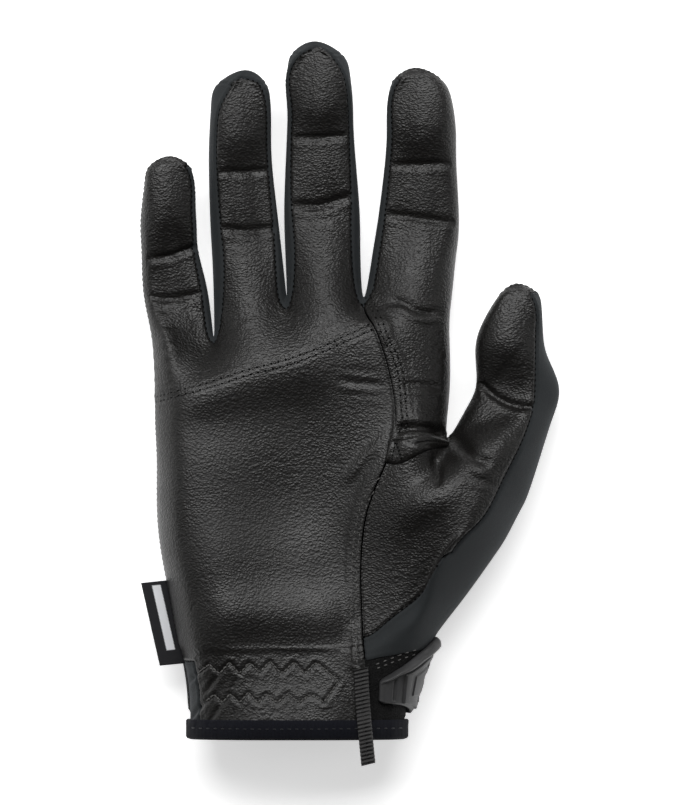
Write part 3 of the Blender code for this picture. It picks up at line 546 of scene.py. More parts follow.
class Surface:
    """A quad surface with its panel numbers and outward normals."""

    def __init__(self, co, quads, panels):
        self.co = co
        self.quads = quads
        self.panels = panels
        self.normals = vertex_normals(co, quads)


def vertex_normals(co, quads):
    """Outward normals, each the mean of the faces round its vertex."""
    face_normals = np.cross(co[quads[:, 2]] - co[quads[:, 0]], co[quads[:, 3]] - co[quads[:, 1]])
    normals = np.zeros_like(co)
    for corner in range(4):
        for axis in range(3):
            normals[:, axis] += np.bincount(
                quads[:, corner], weights=face_normals[:, axis], minlength=len(co)
            )
    return normals / np.linalg.norm(normals, axis=1, keepdims=True)


def values_of(items, key, width, kind):
    """One value of every item of a mesh, as an array with a row for each."""
    values = np.empty(len(items) * width, dtype=kind)
    items.foreach_get(key, values)
    return values.reshape(-1, width)


def evaluated(obj):
    """Points, quads and panel numbers of an object with its modifiers."""
    bpy.context.view_layer.update()
    shaped = obj.evaluated_get(bpy.context.evaluated_depsgraph_get())
    mesh = shaped.to_mesh()
    co = values_of(mesh.vertices, "co", 3, float)
    corners = values_of(mesh.loops, "vertex_index", 1, np.int64)
    panels = values_of(mesh.polygons, "material_index", 1, np.int64)
    shaped.to_mesh_clear()
    return co, corners.reshape(-1, 4), panels[:, 0]


def smooth_skins(levels):
    """The smooth skin through every named point, once for each level of smoothing."""
    points, faces = cage()
    keys = list(points)
    number = {key: index for index, key in enumerate(keys)}
    wanted = np.array([points[key] for key in keys])
    mesh = bpy.data.meshes.new("skin_cage")
    mesh.from_pydata(wanted.tolist(), [], [[number[key] for key in face] for face, _ in faces])
    for polygon, (_, panel) in zip(mesh.polygons, faces):
        polygon.material_index = PANELS.index(panel)
    guide = bpy.data.objects.new("skin_cage", mesh)
    bpy.context.collection.objects.link(guide)
    smoothing = guide.modifiers.new("smooth", "SUBSURF")
    smoothing.levels = 1
    held = wanted.copy()
    for _ in range(FIT_ROUNDS):
        held += wanted - evaluated(guide)[0][: len(wanted)]
        mesh.vertices.foreach_set("co", held.ravel())
        mesh.update()
    skins = []
    for level in levels:
        smoothing.levels = level
        co, quads, panels = evaluated(guide)
        co -= ORIGIN
        co[co[:, 2] < REST_FLAT, 2] = 0.0
        skins.append(Surface(co, quads, panels))
    bpy.data.objects.remove(guide, do_unlink=True)
    return skins


def quad_edges(quads):
    """All sides of a set of quads, as directed edges."""
    return np.concatenate([quads[:, [i, (i + 1) % 4]] for i in range(4)])


def border_edges(quads):
    """The directed edges on the border of a set of quads."""
    known = set(map(tuple, quad_edges(quads).tolist()))
    return [(a, b) for a, b in known if (b, a) not in known]


def panels_at(skin):
    """The numbers of the panels that meet at each vertex."""
    owners = {}
    for quad, panel in zip(skin.quads.tolist(), skin.panels.tolist()):
        for vertex in quad:
            owners.setdefault(vertex, set()).add(panel)
    return owners


def point_tree(points):
    """A tree that finds the nearest of some points."""
    tree = KDTree(len(points))
    for index, point in enumerate(points):
        tree.insert(point, index)
    tree.balance()
    return tree


def run_lengths(points):
    """How far along a line each of its points is."""
    steps = np.linalg.norm(np.diff(points, axis=0), axis=1)
    return np.concatenate([[0.0], np.cumsum(steps)])


def bell(gap, width, centre=0.0):
    """A smooth bump across a line, by the distance from the line."""
    return np.exp(-((gap - centre) / width) ** 2)


def add_mesh(name, co, faces, finish):
    """A new piece that rides on the glove, made of points in the frame's own place."""
    mesh = bpy.data.meshes.new(name)
    mesh.from_pydata([tuple(point) for point in co], [], [tuple(face) for face in faces])
    mesh.materials.append(finish)
    mesh.shade_smooth()
    obj = bpy.data.objects.new(name, mesh)
    bpy.context.collection.objects.link(obj)
    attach(obj, "root")
    return obj


def seam_chains(skin):
    """Every seam between two panels as an ordered run of vertices."""
    edges = quad_edges(skin.quads)
    owners = np.tile(skin.panels, 4)
    edges.sort(axis=1)
    order = np.lexsort((edges[:, 1], edges[:, 0]))
    edges, owners = edges[order], owners[order]
    same = (edges[1:] == edges[:-1]).all(axis=1) & (owners[1:] != owners[:-1])
    links = {}
    for a, b in edges[1:][same].tolist():
        links.setdefault(a, []).append(b)
        links.setdefault(b, []).append(a)
    chains = []
    used = set()
    starts = sorted(links, key=lambda vertex: (len(links[vertex]) == 2, vertex))
    for start in starts:
        for step in links[start]:
            if (start, step) in used:
                continue
            chain = [start, step]
            used.update([(start, step), (step, start)])
            while len(links[chain[-1]]) == 2 and chain[-1] != start:
                after = [v for v in links[chain[-1]] if v != chain[-2]][0]
                used.update([(chain[-1], after), (after, chain[-1])])
                chain.append(after)
            chains.append(chain)
    return chains


# Folds pressed into the skin's front. Points are pixels of the photograph; depth, width and
# lip, the roll on either side of a fold, are in millimetres, and fade is the share of its
# length over which each end dies out. shelf, in millimetres too, is how far the skin slopes
# down to a fold from both sides. A negative depth makes a ridge. Lips lie LIP_PLACE widths from
# the fold and are LIP_WIDTH widths broad.
FOLD_COLUMNS = ("points", "depth", "width", "lip", "fade", "shelf")
SHELF_ABOVE = 0.0110
SHELF_BELOW = 0.0100
SHELF_FADE = 0.30
SHELF_REACH = 0.0300
LIP_BELOW = 1.5
LIP_ABOVE = 0.4
LIP_PLACE = 2.3
LIP_WIDTH = 1.1
FOLD_SPACING = 0.002
FOLD_REACH = 0.004
FOLDS = {
    "pinky_upper": (((146, 259), (170, 257), (198, 246)), 1.02, 0.90, 0.15, 0.05, 2.0),
    "pinky_lower": (((149, 297), (176, 298), (203, 293)), 1.15, 0.90, 0.17, 0.05, 2.3),
    "pinky_fold": (((149, 308), (166, 309), (184, 306)), 0.40, 0.60, 0.12, 0.3, 0.0),
    "pinky_base_a": (((151, 322), (170, 325), (190, 323)), 0.30, 0.70, 0.12, 0.4, 0.0),
    "pinky_base_b": (((152, 352), (163, 351), (180, 347)), 0.50, 0.75, 0.15, 0.4, 0.0),
    "pinky_base_c": (((155, 366), (166, 365), (178, 362)), 0.42, 0.70, 0.12, 0.45, 0.0),
    "ring_upper": (((218, 172), (245, 173), (270, 170)), 0.88, 0.84, 0.14, 0.05, 2.0),
    "ring_lower": (((220, 229), (247, 231), (277, 228)), 1.22, 0.96, 0.20, 0.05, 2.3),
    "ring_base_a": (((224, 242), (240, 246), (260, 244)), 0.28, 0.60, 0.10, 0.45, 0.0),
    "ring_base_b": (((226, 320), (245, 318), (268, 312)), 0.28, 0.90, 0.10, 0.45, 0.0),
    "middle_upper": (((293, 138), (318, 139), (347, 136)), 1.02, 0.90, 0.17, 0.05, 2.0),
    "middle_lower": (((290, 205), (320, 206), (353, 196)), 1.36, 1.02, 0.21, 0.05, 2.3),
    "middle_base_a": (((294, 217), (318, 222), (345, 216)), 0.25, 0.60, 0.10, 0.45, 0.0),
    "middle_base_b": (((296, 300), (320, 303), (352, 294)), 0.30, 0.90, 0.12, 0.45, 0.0),
    "index_upper": (((391, 165), (420, 166), (452, 164)), 0.95, 0.90, 0.15, 0.05, 2.0),
    "index_lower": (((384, 214), (415, 218), (456, 223)), 1.15, 0.96, 0.17, 0.05, 2.3),
    "index_base": (((384, 300), (404, 303), (420, 312), (444, 313)), 0.94, 1.15, 0.45, 0.25, 0.5),
    "index_palm": (((398, 387), (418, 385), (444, 388)), 0.88, 0.92, 0.42, 0.15, 0.5),
    "palm_crease": (((332, 377), (352, 382), (392, 386)), 0.59, 1.04, 0.24, 0.35, 0.0),
    "palm_crease_b": (((338, 368), (360, 372), (388, 373)), 0.23, 0.88, 0.12, 0.4, 0.0),
    "palm_crease_c": (((345, 392), (366, 394), (390, 396)), 0.22, 0.88, 0.12, 0.4, 0.0),
    "heel_swell": (((190, 618), (260, 614), (330, 616), (362, 622)), -2.40, 10.0, 0.00, 0.25, 0.0),
    "wrist_fall": (((195, 651), (230, 650), (320, 650), (352, 651)), 0.42, 2.6, 0.00, 0.2, 0.0),
    "palm_rise": (((180, 560), (260, 556), (345, 556)), -1.30, 14.0, 0.0, 0.25, 0.0),
    "palm_ridge": (((386, 436), (372, 450), (356, 468), (342, 486)), -0.80, 2.00, 0.00, 0.3, 0.0),
    "crotch_fold": (((394, 431), (412, 427), (432, 429), (447, 436)), 2.60, 1.20, 0.35, 0.15, 0.0),
    "crotch_dimple": (((434, 452), (437, 468), (438, 488)), 1.40, 1.30, 0.00, 0.3, 0.0),
    "thumb_main": (((476, 380), (488, 391), (506, 401), (535, 408)), 1.40, 1.00, 0.25, 0.08, 1.5),
    "thumb_second": (((450, 433), (462, 446), (476, 457), (494, 465)), 1.50, 1.70, 0.35, 0.2, 0.9),
    "thumb_third": (((452, 462), (468, 474), (486, 482), (502, 486)), 0.50, 1.00, 0.20, 0.4, 0.0),
}

# The gathered wrist: two zigzag rows of elastic stitching, and the folds that run down and to
# the left from them. Places and the folds' run are pixels; the folds' depth, width and lip are
# millimetres. The folds fade out over the pixels of GATHER_REACH.
ZIGZAG_COLUMNS = ("peaks", "valleys", "end")
ZIGZAGS = {
    "upper": (
        ((210, 663), (230, 661), (250, 661), (270, 660), (294, 661), (316, 661)),
        ((199, 672), (220, 673), (240, 673), (260, 672), (282, 673), (305, 673)),
        ((339, 680), (324, 701)),
    ),
    "lower": (
        ((215, 693), (231, 692), (249, 691), (267, 692), (288, 692), (310, 693)),
        ((207, 700), (223, 702), (240, 702), (258, 702), (277, 702), (299, 702)),
        ((324, 701),),
    ),
}
GATHER = {"depth": 0.85, "width": 0.75, "lip": 0.25, "fade": 0.25, "shelf": 0.0}
GATHER_RUN = (-17, 21.6)
GATHER_REACH = (196, 262)
GATHER_LEAST = 0.12

# Grooves pressed along sewn rows, in metres: depth and width of the groove, then height,
# distance and width of the roll on either side, and how far off anything moves.
GROOVE_COLUMNS = ("depth", "width", "roll", "roll_place", "roll_width", "reach")
ZIGZAG_GROOVE = (0.00040, 0.00050, 0.00015, 0.0015, 0.0008, 0.005)
ROW_GROOVE = (0.00022, 0.0006, 0.00012, 0.0013, 0.0006, 0.003)
ROW_SPACING = 0.001

# Seams sewn flat, with two rows of stitches: the rows' middle line in pixels.
LONG_ROWS = {
    "finger_seam_upper": ((157, 397), (182, 390), (207, 383), (244, 371), (282, 361), (319, 348),
                          (354, 332), (368, 325)),
    "finger_seam_lower": ((157, 402), (182, 395), (208, 388), (246, 376), (284, 366), (321, 353),
                          (356, 337), (371, 330)),
    "index_seam_left": ((366, 298), (377, 321), (384, 340), (392, 355), (398, 374), (400, 390),
                        (401, 407), (402, 421), (399, 432)),
    "index_seam_right": ((371, 298), (382, 321), (389, 340), (397, 355), (403, 374), (405, 390),
                         (406, 407), (407, 420), (405, 430)),
    "thumb_seam_left": ((388, 473), (373, 483), (362, 502), (355, 530), (352, 562), (351, 600),
                        (350, 640), (350, 662)),
    "thumb_seam_right": ((392, 476), (378, 486), (367, 504), (360, 531), (357, 563), (356, 600),
                         (356, 640), (357, 664)),
}
LOOP_ROWS = (((374, 664), (392, 657), (406, 652), (418, 648.5)),
             ((375, 668), (393, 661), (406, 656.5), (417, 653)))
BINDING_ROW = ((190, 727), (250, 727.4), (310, 727.4), (352, 727), (380, 727), (404, 727))
STITCH_PITCH = 0.0026
STITCH_LENGTH = 0.0015
THREAD_RADIUS = 0.00024
CURVE_STEPS = 24


def smooth_path(points, spacing):
    """An even run of places along a smooth curve through the points."""
    points = np.asarray(points, dtype=float)
    padded = np.concatenate([[2 * points[0] - points[1]], points, [2 * points[-1] - points[-2]]])
    dense = []
    for i in range(1, len(padded) - 2):
        p0, p1, p2, p3 = padded[i - 1:i + 3]
        for t in np.linspace(0, 1, CURVE_STEPS, endpoint=False):
            dense.append(0.5 * (2 * p1 + (p2 - p0) * t + (2 * p0 - 5 * p1 + 4 * p2 - p3) * t**2
                                + (3 * p1 - p0 - 3 * p2 + p3) * t**3))
    dense.append(padded[-2])
    return even_path(dense, spacing)


def even_path(points, spacing):
    """Places at even spacing along straight runs between points."""
    points = np.asarray(points, dtype=float)
    along = run_lengths(points)
    count = max(2, int(round(along[-1] / spacing)) + 1)
    wanted = np.linspace(0.0, along[-1], count)
    return np.stack([np.interp(wanted, along, column) for column in points.T], axis=1)


def along_path(places, points):
    """Each place's distance from a path, share along it and height above it."""
    gap = np.full(len(places), np.inf)
    along = np.zeros(len(places))
    above = np.zeros(len(places))
    start = 0.0
    for a, b in zip(points, points[1:]):
        run = b - a
        length = np.linalg.norm(run)
        share = np.clip((places - a) @ run / length**2, 0.0, 1.0)
        away = places - a - share[:, None] * run
        distance = np.linalg.norm(away, axis=1)
        nearer = distance < gap
        above[nearer] = away[nearer, 1]
        gap[nearer] = distance[nearer]
        along[nearer] = start + share[nearer] * length
        start += length
    return gap, along / start, above


def running_mean(values, reach):
    """Values smoothed over their neighbours up to reach places away."""
    count = 2 * reach + 1
    return np.convolve(np.pad(values, reach, mode="edge"), np.ones(count) / count, mode="valid")


def near_box(places, points, reach):
    """The places within reach of the box round a path."""
    low, high = points.min(axis=0) - reach, points.max(axis=0) + reach
    return np.nonzero(((places > low) & (places < high)).all(axis=1))[0]


def fold_relief(places, fold):
    """How far one fold moves the skin in and out."""
    depth, width, lip, shelf = (fold[key] / 1000 for key in ("depth", "width", "lip", "shelf"))
    points = smooth_path(at(fold["points"]), FOLD_SPACING)
    relief = np.zeros(len(places))
    near = near_box(places, points, SHELF_REACH if shelf else 3 * width + FOLD_REACH)
    gap, share, above = along_path(places[near], points)
    ends = np.minimum(share, 1 - share)
    lean = np.where(above < 0, LIP_BELOW, LIP_ABOVE)
    shape = lean * lip * bell(gap, LIP_WIDTH * width, LIP_PLACE * width) - depth * bell(gap, width)
    slope = np.exp(-gap / np.where(above < 0, SHELF_BELOW, SHELF_ABOVE))
    relief[near] = shape * smooth_step(0.0, fold["fade"], ends)
    relief[near] -= shelf * slope * smooth_step(0.0, SHELF_FADE, ends)
    return relief


def zigzag(name):
    """The corners of one zigzag row of stitching, in pixels."""
    row = dict(zip(ZIGZAG_COLUMNS, ZIGZAGS[name]))
    corners = []
    for valley, peak in zip(row["valleys"], row["peaks"]):
        corners += [valley, peak]
    return corners + list(row["end"])


def gathers(name):
    """The folds that run down from a zigzag row, steeper and weaker away from the side seam."""
    row = dict(zip(ZIGZAG_COLUMNS, ZIGZAGS[name]))
    first, last = GATHER_REACH
    for x, y in row["valleys"]:
        share = min(max((last - x) / (last - first), GATHER_LEAST), 1.0)
        across, down = GATHER_RUN[0] * (0.3 + share), GATHER_RUN[1]
        points = ((x, y), (x + 0.5 * across, y + 0.45 * down), (x + across, y + down))
        sizes = {"depth": GATHER["depth"] * share, "lip": GATHER["lip"] * share}
        yield {**GATHER, **sizes, "points": points}


def press_row(relief, places, points, sizes):
    """Press a sewn row into the relief, with the roll on either side of it."""
    groove = dict(zip(GROOVE_COLUMNS, sizes))
    near = near_box(places, points, groove["reach"])
    gap, _, _ = along_path(places[near], points)
    relief[near] -= groove["depth"] * bell(gap, groove["width"])
    relief[near] += groove["roll"] * bell(gap, groove["roll_width"], groove["roll_place"])


def front_relief(places):
    """Folds, gathers and sewn rows of the front, as one height for each place."""
    relief = np.zeros(len(places))
    folds = [dict(zip(FOLD_COLUMNS, values)) for values in FOLDS.values()]
    for name in ZIGZAGS:
        press_row(relief, places, even_path(at(zigzag(name)), ROW_SPACING), ZIGZAG_GROOVE)
        folds += gathers(name)
    for row in LONG_ROWS.values():
        press_row(relief, places, smooth_path(at(row), ROW_SPACING), ROW_GROOVE)
    for fold in folds:
        relief += fold_relief(places, fold)
    return relief


# Seams by the two panels that they join, in millimetres: step lifts the first panel's edge over
# the second's, groove is how deep both dive, pucker how far the stitches pull them, pitch the
# stitches' spacing, and slit the gap left on each side.
SEAM_COLUMNS = ("step", "groove", "pucker", "pitch", "slit")
PLAIN_SEAM = (0.0, 0.42, 0.12, 1.9, 0.13)
FABRIC_SEAM = (0.0, 0.12, 0.03, 1.9, 0.04)
SEAMS = {
    ("palm_panel", "finger_panel"): (0.0, 0.0, 0.0, 2.6, 0.005),
    ("index_panel", "palm_panel"): (0.60, 0.15, 0.0, 2.6, 0.20),
    ("index_panel", "finger_panel"): (0.60, 0.15, 0.0, 2.6, 0.20),
    ("palm_panel", "thumb_panel"): (0.60, 0.15, 0.0, 2.6, 0.20),
    ("palm_panel", "thumb_side"): (0.60, 0.15, 0.0, 2.6, 0.20),
    ("palm_panel", "wrist_loop_panel"): (0.25, 0.10, 0.0, 2.6, 0.06),
    ("thumb_side", "wrist_loop_panel"): (0.25, 0.10, 0.0, 2.6, 0.06),
    ("thumb_side", "hand_back"): FABRIC_SEAM,
    ("fourchette_pinky_ring", "hand_back"): FABRIC_SEAM,
    ("fourchette_ring_middle", "hand_back"): FABRIC_SEAM,
    ("fourchette_middle_index", "hand_back"): FABRIC_SEAM,
    ("thumb_panel", "thumb_side"): (0.0, 0.50, 0.14, 2.0, 0.15),
}
STEP_DROP = 0.6
RAISED_REACH = 0.0055
SUNK_REACH = 0.0025
GROOVE_WIDTH = 0.0005
SEAM_ROLL = 0.00012
ROLL_START = 0.0003
ROLL_PLACE = 0.0010
ROLL_WIDTH = 0.0006


def seam_of(first, second):
    """A seam's sizes by column, and the panel that its step lifts."""
    if (second, first) in SEAMS:
        first, second = second, first
    return dict(zip(SEAM_COLUMNS, SEAMS.get((first, second), PLAIN_SEAM))), first


def seam_relief(skin):
    """How the seams move each vertex, its slit, and how far a lower panel drops under a step."""
    relief = np.zeros(len(skin.co))
    slits = np.zeros(len(skin.co))
    drops = {}
    owners = panels_at(skin)
    main_panel = np.array([min(owners[vertex]) for vertex in range(len(skin.co))])
    for chain in seam_chains(skin):
        pair = sorted(owners[chain[len(chain) // 2]])
        sizes, raised = seam_of(PANELS[pair[0]], PANELS[pair[1]])
        line = skin.co[chain]
        along = run_lengths(line)
        tree = point_tree(line)
        near = near_box(skin.co, line, SEAM_REACH)
        found = [tree.find(point) for point in skin.co[near]]
        gap = np.array([distance for _, _, distance in found])
        place = along[[index for _, index, _ in found]]
        keep = gap < SEAM_REACH
        near, gap, place = near[keep], gap[keep], place[keep]
        belongs = np.array([bool(owners[vertex] & set(pair)) for vertex in near.tolist()])
        wave = np.cos(2 * np.pi * place / (sizes["pitch"] / 1000))
        roll = SEAM_ROLL + sizes["pucker"] / 1000 * wave
        shape = -sizes["groove"] / 1000 * bell(gap, GROOVE_WIDTH)
        shape += np.where(gap > ROLL_START, roll * bell(gap, ROLL_WIDTH, ROLL_PLACE), 0.0)
        slits[chain] = sizes["slit"] / 1000
        if sizes["step"]:
            upper = PANELS.index(raised)
            lower = pair[0] if pair[1] == upper else pair[1]
            step = sizes["step"] / 1000
            over = (main_panel[near] == upper) | np.isin(near, chain)
            shape += np.where(over, step * np.exp(-(gap / RAISED_REACH) ** 6),
                              -STEP_DROP * step * bell(gap, SUNK_REACH))
            drops.update({(vertex, lower): (1 + STEP_DROP) * step for vertex in chain})
        relief[near] += np.where(belongs, shape, 0.0)
    return relief, slits, drops


def panel_piece(name, fine, shaped, coarse, link, seams, finish):
    """One sewn panel as a closed wall: fine outside, coarser inside, joined along its seams."""
    number = PANELS.index(name)
    outer_quads = fine.quads[fine.panels == number]
    inner_quads = coarse.quads[coarse.panels == number]
    outer_edges = border_edges(outer_quads)
    cuff = {vertex for edge in fine.open_edges for vertex in edge}
    after = dict(outer_edges)
    slits, drops, shading = seams
    co = shaped.copy()
    normals = shading.copy()
    inward = np.zeros_like(co)
    for a, b in outer_edges:
        if a in cuff and b in cuff:
            continue
        for vertex in (a, b):
            side = np.cross(fine.normals[vertex], fine.co[b] - fine.co[a])
            inward[vertex] += side / np.linalg.norm(side)
    moved = np.nonzero(np.abs(inward).sum(axis=1))[0]
    unit = inward[moved] / np.linalg.norm(inward[moved], axis=1, keepdims=True)
    co[moved] += slits[moved, None] * unit
    for vertex in moved.tolist():
        if (vertex, number) in drops:
            co[vertex] -= drops[vertex, number] * fine.normals[vertex]
            normals[vertex] = fine.normals[vertex]
    outer_used = np.unique(outer_quads)
    inner_used = np.unique(inner_quads)
    outer_local = {vertex: index for index, vertex in enumerate(outer_used.tolist())}
    inner_local = {vertex: index for index, vertex in enumerate(inner_used.tolist(), len(outer_used))}
    linked = link[inner_used]
    inner = co[linked] - fine.normals[linked] * PANEL_WALLS[name]
    faces = [[outer_local[v] for v in quad] for quad in outer_quads.tolist()]
    faces += [[inner_local[v] for v in reversed(quad)] for quad in inner_quads.tolist()]
    for a, b in border_edges(inner_quads):
        run = [int(link[a])]
        while run[-1] != link[b]:
            run.append(after[run[-1]])
        faces.append([outer_local[v] for v in reversed(run)] + [inner_local[a], inner_local[b]])
    obj = add_mesh(name + "_piece", np.concatenate([co[outer_used], inner]), faces, finish)
    smooth = np.concatenate([normals[outer_used], -fine.normals[linked]])
    obj.data.normals_split_custom_set_from_vertices(smooth.tolist())
    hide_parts(name)
    return obj


class Skin:
    """The finished skin, with the places on it that stitches and trims are laid on."""

    def __init__(self, fine, shaped):
        self.co = shaped
        self.quads = fine.quads
        self.normals = vertex_normals(shaped, fine.quads)
        self.tree = BVHTree.FromPolygons(shaped.tolist(), fine.quads.tolist())
        self.open_edges = fine.open_edges

    def hit(self, start, direction):
        """The first point of the skin along a ray, and its smooth normal."""
        point, _, index, _ = self.tree.ray_cast(Vector(start), Vector(direction).normalized())
        if point is None:
            raise ValueError(f"no skin at {tuple(start)}")
        quad = self.quads[index]
        gaps = np.linalg.norm(self.co[quad] - np.array(point), axis=1)
        weights = 1.0 / (gaps + 1e-6)
        normal = (self.normals[quad] * weights[:, None]).sum(axis=0)
        return np.array(point), normal / np.linalg.norm(normal)

    def over(self, place):
        """The point of the front above a place, and its normal."""
        return self.hit((place[0], place[1], 3 * PALM_DEPTH), (0, 0, -1))

    def wrist(self, y, angle):
        """A point round the wrist at a height, by angle from the thumb side over the palm."""
        sizes = row_sizes(LOOP_ROW + 1)
        middle_x = (sizes["left_x"] + sizes["right_x"]) / 2 - ORIGIN[0]
        middle_z = sizes["lift"] + sizes["deep"] / 2
        half_x = (sizes["right_x"] - sizes["left_x"]) / 2
        half_z = sizes["deep"] / 2
        across = np.array((half_x * math.cos(angle), 0.0, half_z * math.sin(angle)))
        slope = np.array((across[0] / half_x**2, 0.0, across[2] / half_z**2))
        slope /= np.linalg.norm(slope)
        start = np.array((middle_x, y - ORIGIN[1], middle_z)) + across + slope * PALM_DEPTH
        return self.hit(start, -slope)


def swept(rings, closed):
    """Points and faces that join equal rings of points, as a tube or a loop."""
    co = [point for ring in rings for point in ring]
    count = len(rings[0])
    faces = []
    for step in range(len(rings) if closed else len(rings) - 1):
        after = (step + 1) % len(rings)
        for i in range(count):
            j = (i + 1) % count
            faces.append((step * count + i, step * count + j, after * count + j, after * count + i))
    if not closed:
        faces.append(tuple(reversed(range(count))))
        faces.append(tuple(range((len(rings) - 1) * count, len(rings) * count)))
    return co, faces


def outward(co, faces):
    """The faces turned so that the closed solid that they bound faces out."""
    co = np.asarray(co, dtype=float)
    volume = 0.0
    for face in faces:
        for i in range(1, len(face) - 1):
            volume += np.dot(co[face[0]], np.cross(co[face[i]], co[face[i + 1]]))
    return faces if volume > 0 else [tuple(reversed(face)) for face in faces]


def sheet_between(lower, upper):
    """A closed sheet between two equal grids of points."""
    rows, columns = lower.shape[:2]
    co = np.concatenate([lower.reshape(-1, 3), upper.reshape(-1, 3)])
    total = rows * columns
    faces = []
    for r in range(rows - 1):
        for c in range(columns - 1):
            a, d = r * columns + c, (r + 1) * columns + c
            faces.append((a, a + 1, d + 1, d))
            faces.append((a + total, d + total, d + 1 + total, a + 1 + total))
    rim = [r * columns for r in range(rows)]
    rim += [(rows - 1) * columns + c for c in range(1, columns)]
    rim += [r * columns + columns - 1 for r in range(rows - 2, -1, -1)]
    rim += list(range(columns - 2, 0, -1))
    for a, b in zip(rim, rim[1:] + rim[:1]):
        faces.append((a, b, b + total, a + total))
    return co, outward(co, faces)


THREAD_SIDES = 6
THREAD_STATIONS = 5
THREAD_TAPER = 0.45


def stitch_rings(skin, start, end, radius, sink, raised):
    """One stitch of thread that rises out of the leather and dives back in."""
    rings = []
    run = np.array(end) - np.array(start)
    for station in range(THREAD_STATIONS):
        share = station / (THREAD_STATIONS - 1)
        point, normal = skin.over(np.array(start) + run * share)
        point = point + normal * (raised - sink * (2 * share - 1) ** 2)
        along = np.array((run[0], run[1], 0.0))
        along -= normal * (along @ normal)
        along /= np.linalg.norm(along)
        side = np.cross(normal, along)
        thick = radius * (1.0 - THREAD_TAPER * (2 * share - 1) ** 2)
        rings.append([
            point + thick * (side * math.cos(turn) + normal * math.sin(turn))
            for turn in np.arange(THREAD_SIDES) * 2 * math.pi / THREAD_SIDES
        ])
    return rings


def stitching(name, skin, rows, slot, finish, pitch=STITCH_PITCH, length=STITCH_LENGTH,
              radius=THREAD_RADIUS, sink=0.0003, raised=0.00005):
    """Rows of stitches laid on the front of the skin, joined as one piece."""
    co, faces = [], []
    for row in rows:
        for start, end in zip(row[:-1], row[1:]):
            middle, half = (start + end) / 2, (end - start) / 2 * min(1.0, length / pitch)
            rings = stitch_rings(skin, middle - half, middle + half, radius, sink, raised)
            points, own = swept(rings, closed=False)
            faces += [[v + len(co) for v in face] for face in outward(points, own)]
            co += points
    obj = add_mesh(name, co, faces, finish)
    return obj


# A bead's sides, and its rings over the foot, by shares of its breadth and height.
BEAD_SIDES = 8
BEAD_RINGS = ((0.94, 0.45), (0.62, 0.86))


def bead(place, up, ahead, length, width, height, sink):
    """A small rounded bead on the skin: its points and faces."""
    ahead = ahead - up * (ahead @ up)
    ahead = ahead / np.linalg.norm(ahead)
    side = np.cross(up, ahead)
    turns = np.arange(BEAD_SIDES) * 2 * math.pi / BEAD_SIDES
    co = []
    for share, rise in ((1.0, -sink), *((share, part * height) for share, part in BEAD_RINGS)):
        for turn in turns:
            reach = length / 2 * math.cos(turn) * ahead + width / 2 * math.sin(turn) * side
            co.append(place + share * reach + rise * up)
    co.append(place + height * up)
    faces = [tuple(reversed(range(BEAD_SIDES)))]
    for ring in (0, BEAD_SIDES):
        for i in range(BEAD_SIDES):
            j = (i + 1) % BEAD_SIDES
            faces.append((ring + i, ring + j, ring + BEAD_SIDES + j, ring + BEAD_SIDES + i))
    top = 3 * BEAD_SIDES
    for i in range(BEAD_SIDES):
        faces.append((top - BEAD_SIDES + i, top - BEAD_SIDES + (i + 1) % BEAD_SIDES, top))
    return co, faces


def beads(name, runs, sizes, finish):
    """Beads at every place of some runs of points and normals, joined as one piece."""
    co, faces = [], []
    for points, normals in runs:
        for place, up, ahead in zip(points, normals, np.gradient(points, axis=0)):
            own, own_faces = bead(place, up, ahead, *sizes)
            faces += [[v + len(co) for v in face] for face in own_faces]
            co += own
    obj = add_mesh(name, co, faces, finish)
    return obj


def laid(skin, places):
    """Points and normals of the skin over some places."""
    found = [skin.over(place) for place in places]
    return np.array([point for point, _ in found]), np.array([normal for _, normal in found])


# Beads by length, width, height and sink, in metres.
# NEEDLE_HOLE beads are near-black: the black thread sunk in each hole, with the hole's shade painted
# into it.
NEEDLE_HOLE = (0.00105, 0.00085, 0.00006, 0.0002)
LEATHER_BULGE = (0.00150, 0.00095, 0.00022, 0.0003)
SEAM_TICK = (0.00095, 0.00080, 0.00016, 0.0004)
TICK_PITCH = 0.0019
FEWEST_TICKS = 4


def flat_seams(skin, leather, black, grey):
    """Stitch rows of the flat seams: near-black beads for the thread sunk in the holes, their darkness
    partly painted shade, with the leather swelling between, or thread whose pale grey is a painted
    glint.
    """
    holes, bulges, rows = [], [], []
    for name, row in LONG_ROWS.items():
        if name.startswith("thumb"):
            rows.append(smooth_path(at(row), STITCH_PITCH))
            continue
        places = smooth_path(at(row), STITCH_PITCH)
        holes.append(laid(skin, places))
        bulges.append(laid(skin, (places[1:] + places[:-1]) / 2))
    beads("needle_hole_thread_and_shade", holes, NEEDLE_HOLE, black)
    beads("stitch_swells", bulges, LEATHER_BULGE, leather)
    # The thumb seam's thread is pale grey as a painted glint.
    stitching("thumb_seam_stitches", skin, rows, "leather", grey)


def seam_ticks(skin, fine, finish):
    """Thread showing as small ticks along the seams between leather and fabric."""
    owners = panels_at(fine)
    runs = []
    for chain in seam_chains(fine):
        pair = {PANELS[panel] for panel in owners[chain[len(chain) // 2]]}
        walls = {PANEL_WALLS[name] for name in pair}
        along = run_lengths(skin.co[chain])
        count = int(along[-1] / TICK_PITCH)
        if len(pair) != 2 or len(walls) != 2 or "wrist_loop_panel" in pair or count < FEWEST_TICKS:
            continue
        line = np.concatenate([skin.co[chain], skin.normals[chain]], axis=1)
        wanted = (np.arange(count) + 0.5) * along[-1] / count
        even = np.stack([np.interp(wanted, along, column) for column in line.T], axis=1)
        normals = even[:, 3:] / np.linalg.norm(even[:, 3:], axis=1, keepdims=True)
        runs.append((even[:, :3], normals))
    beads("seam_ticks", runs, SEAM_TICK, finish)


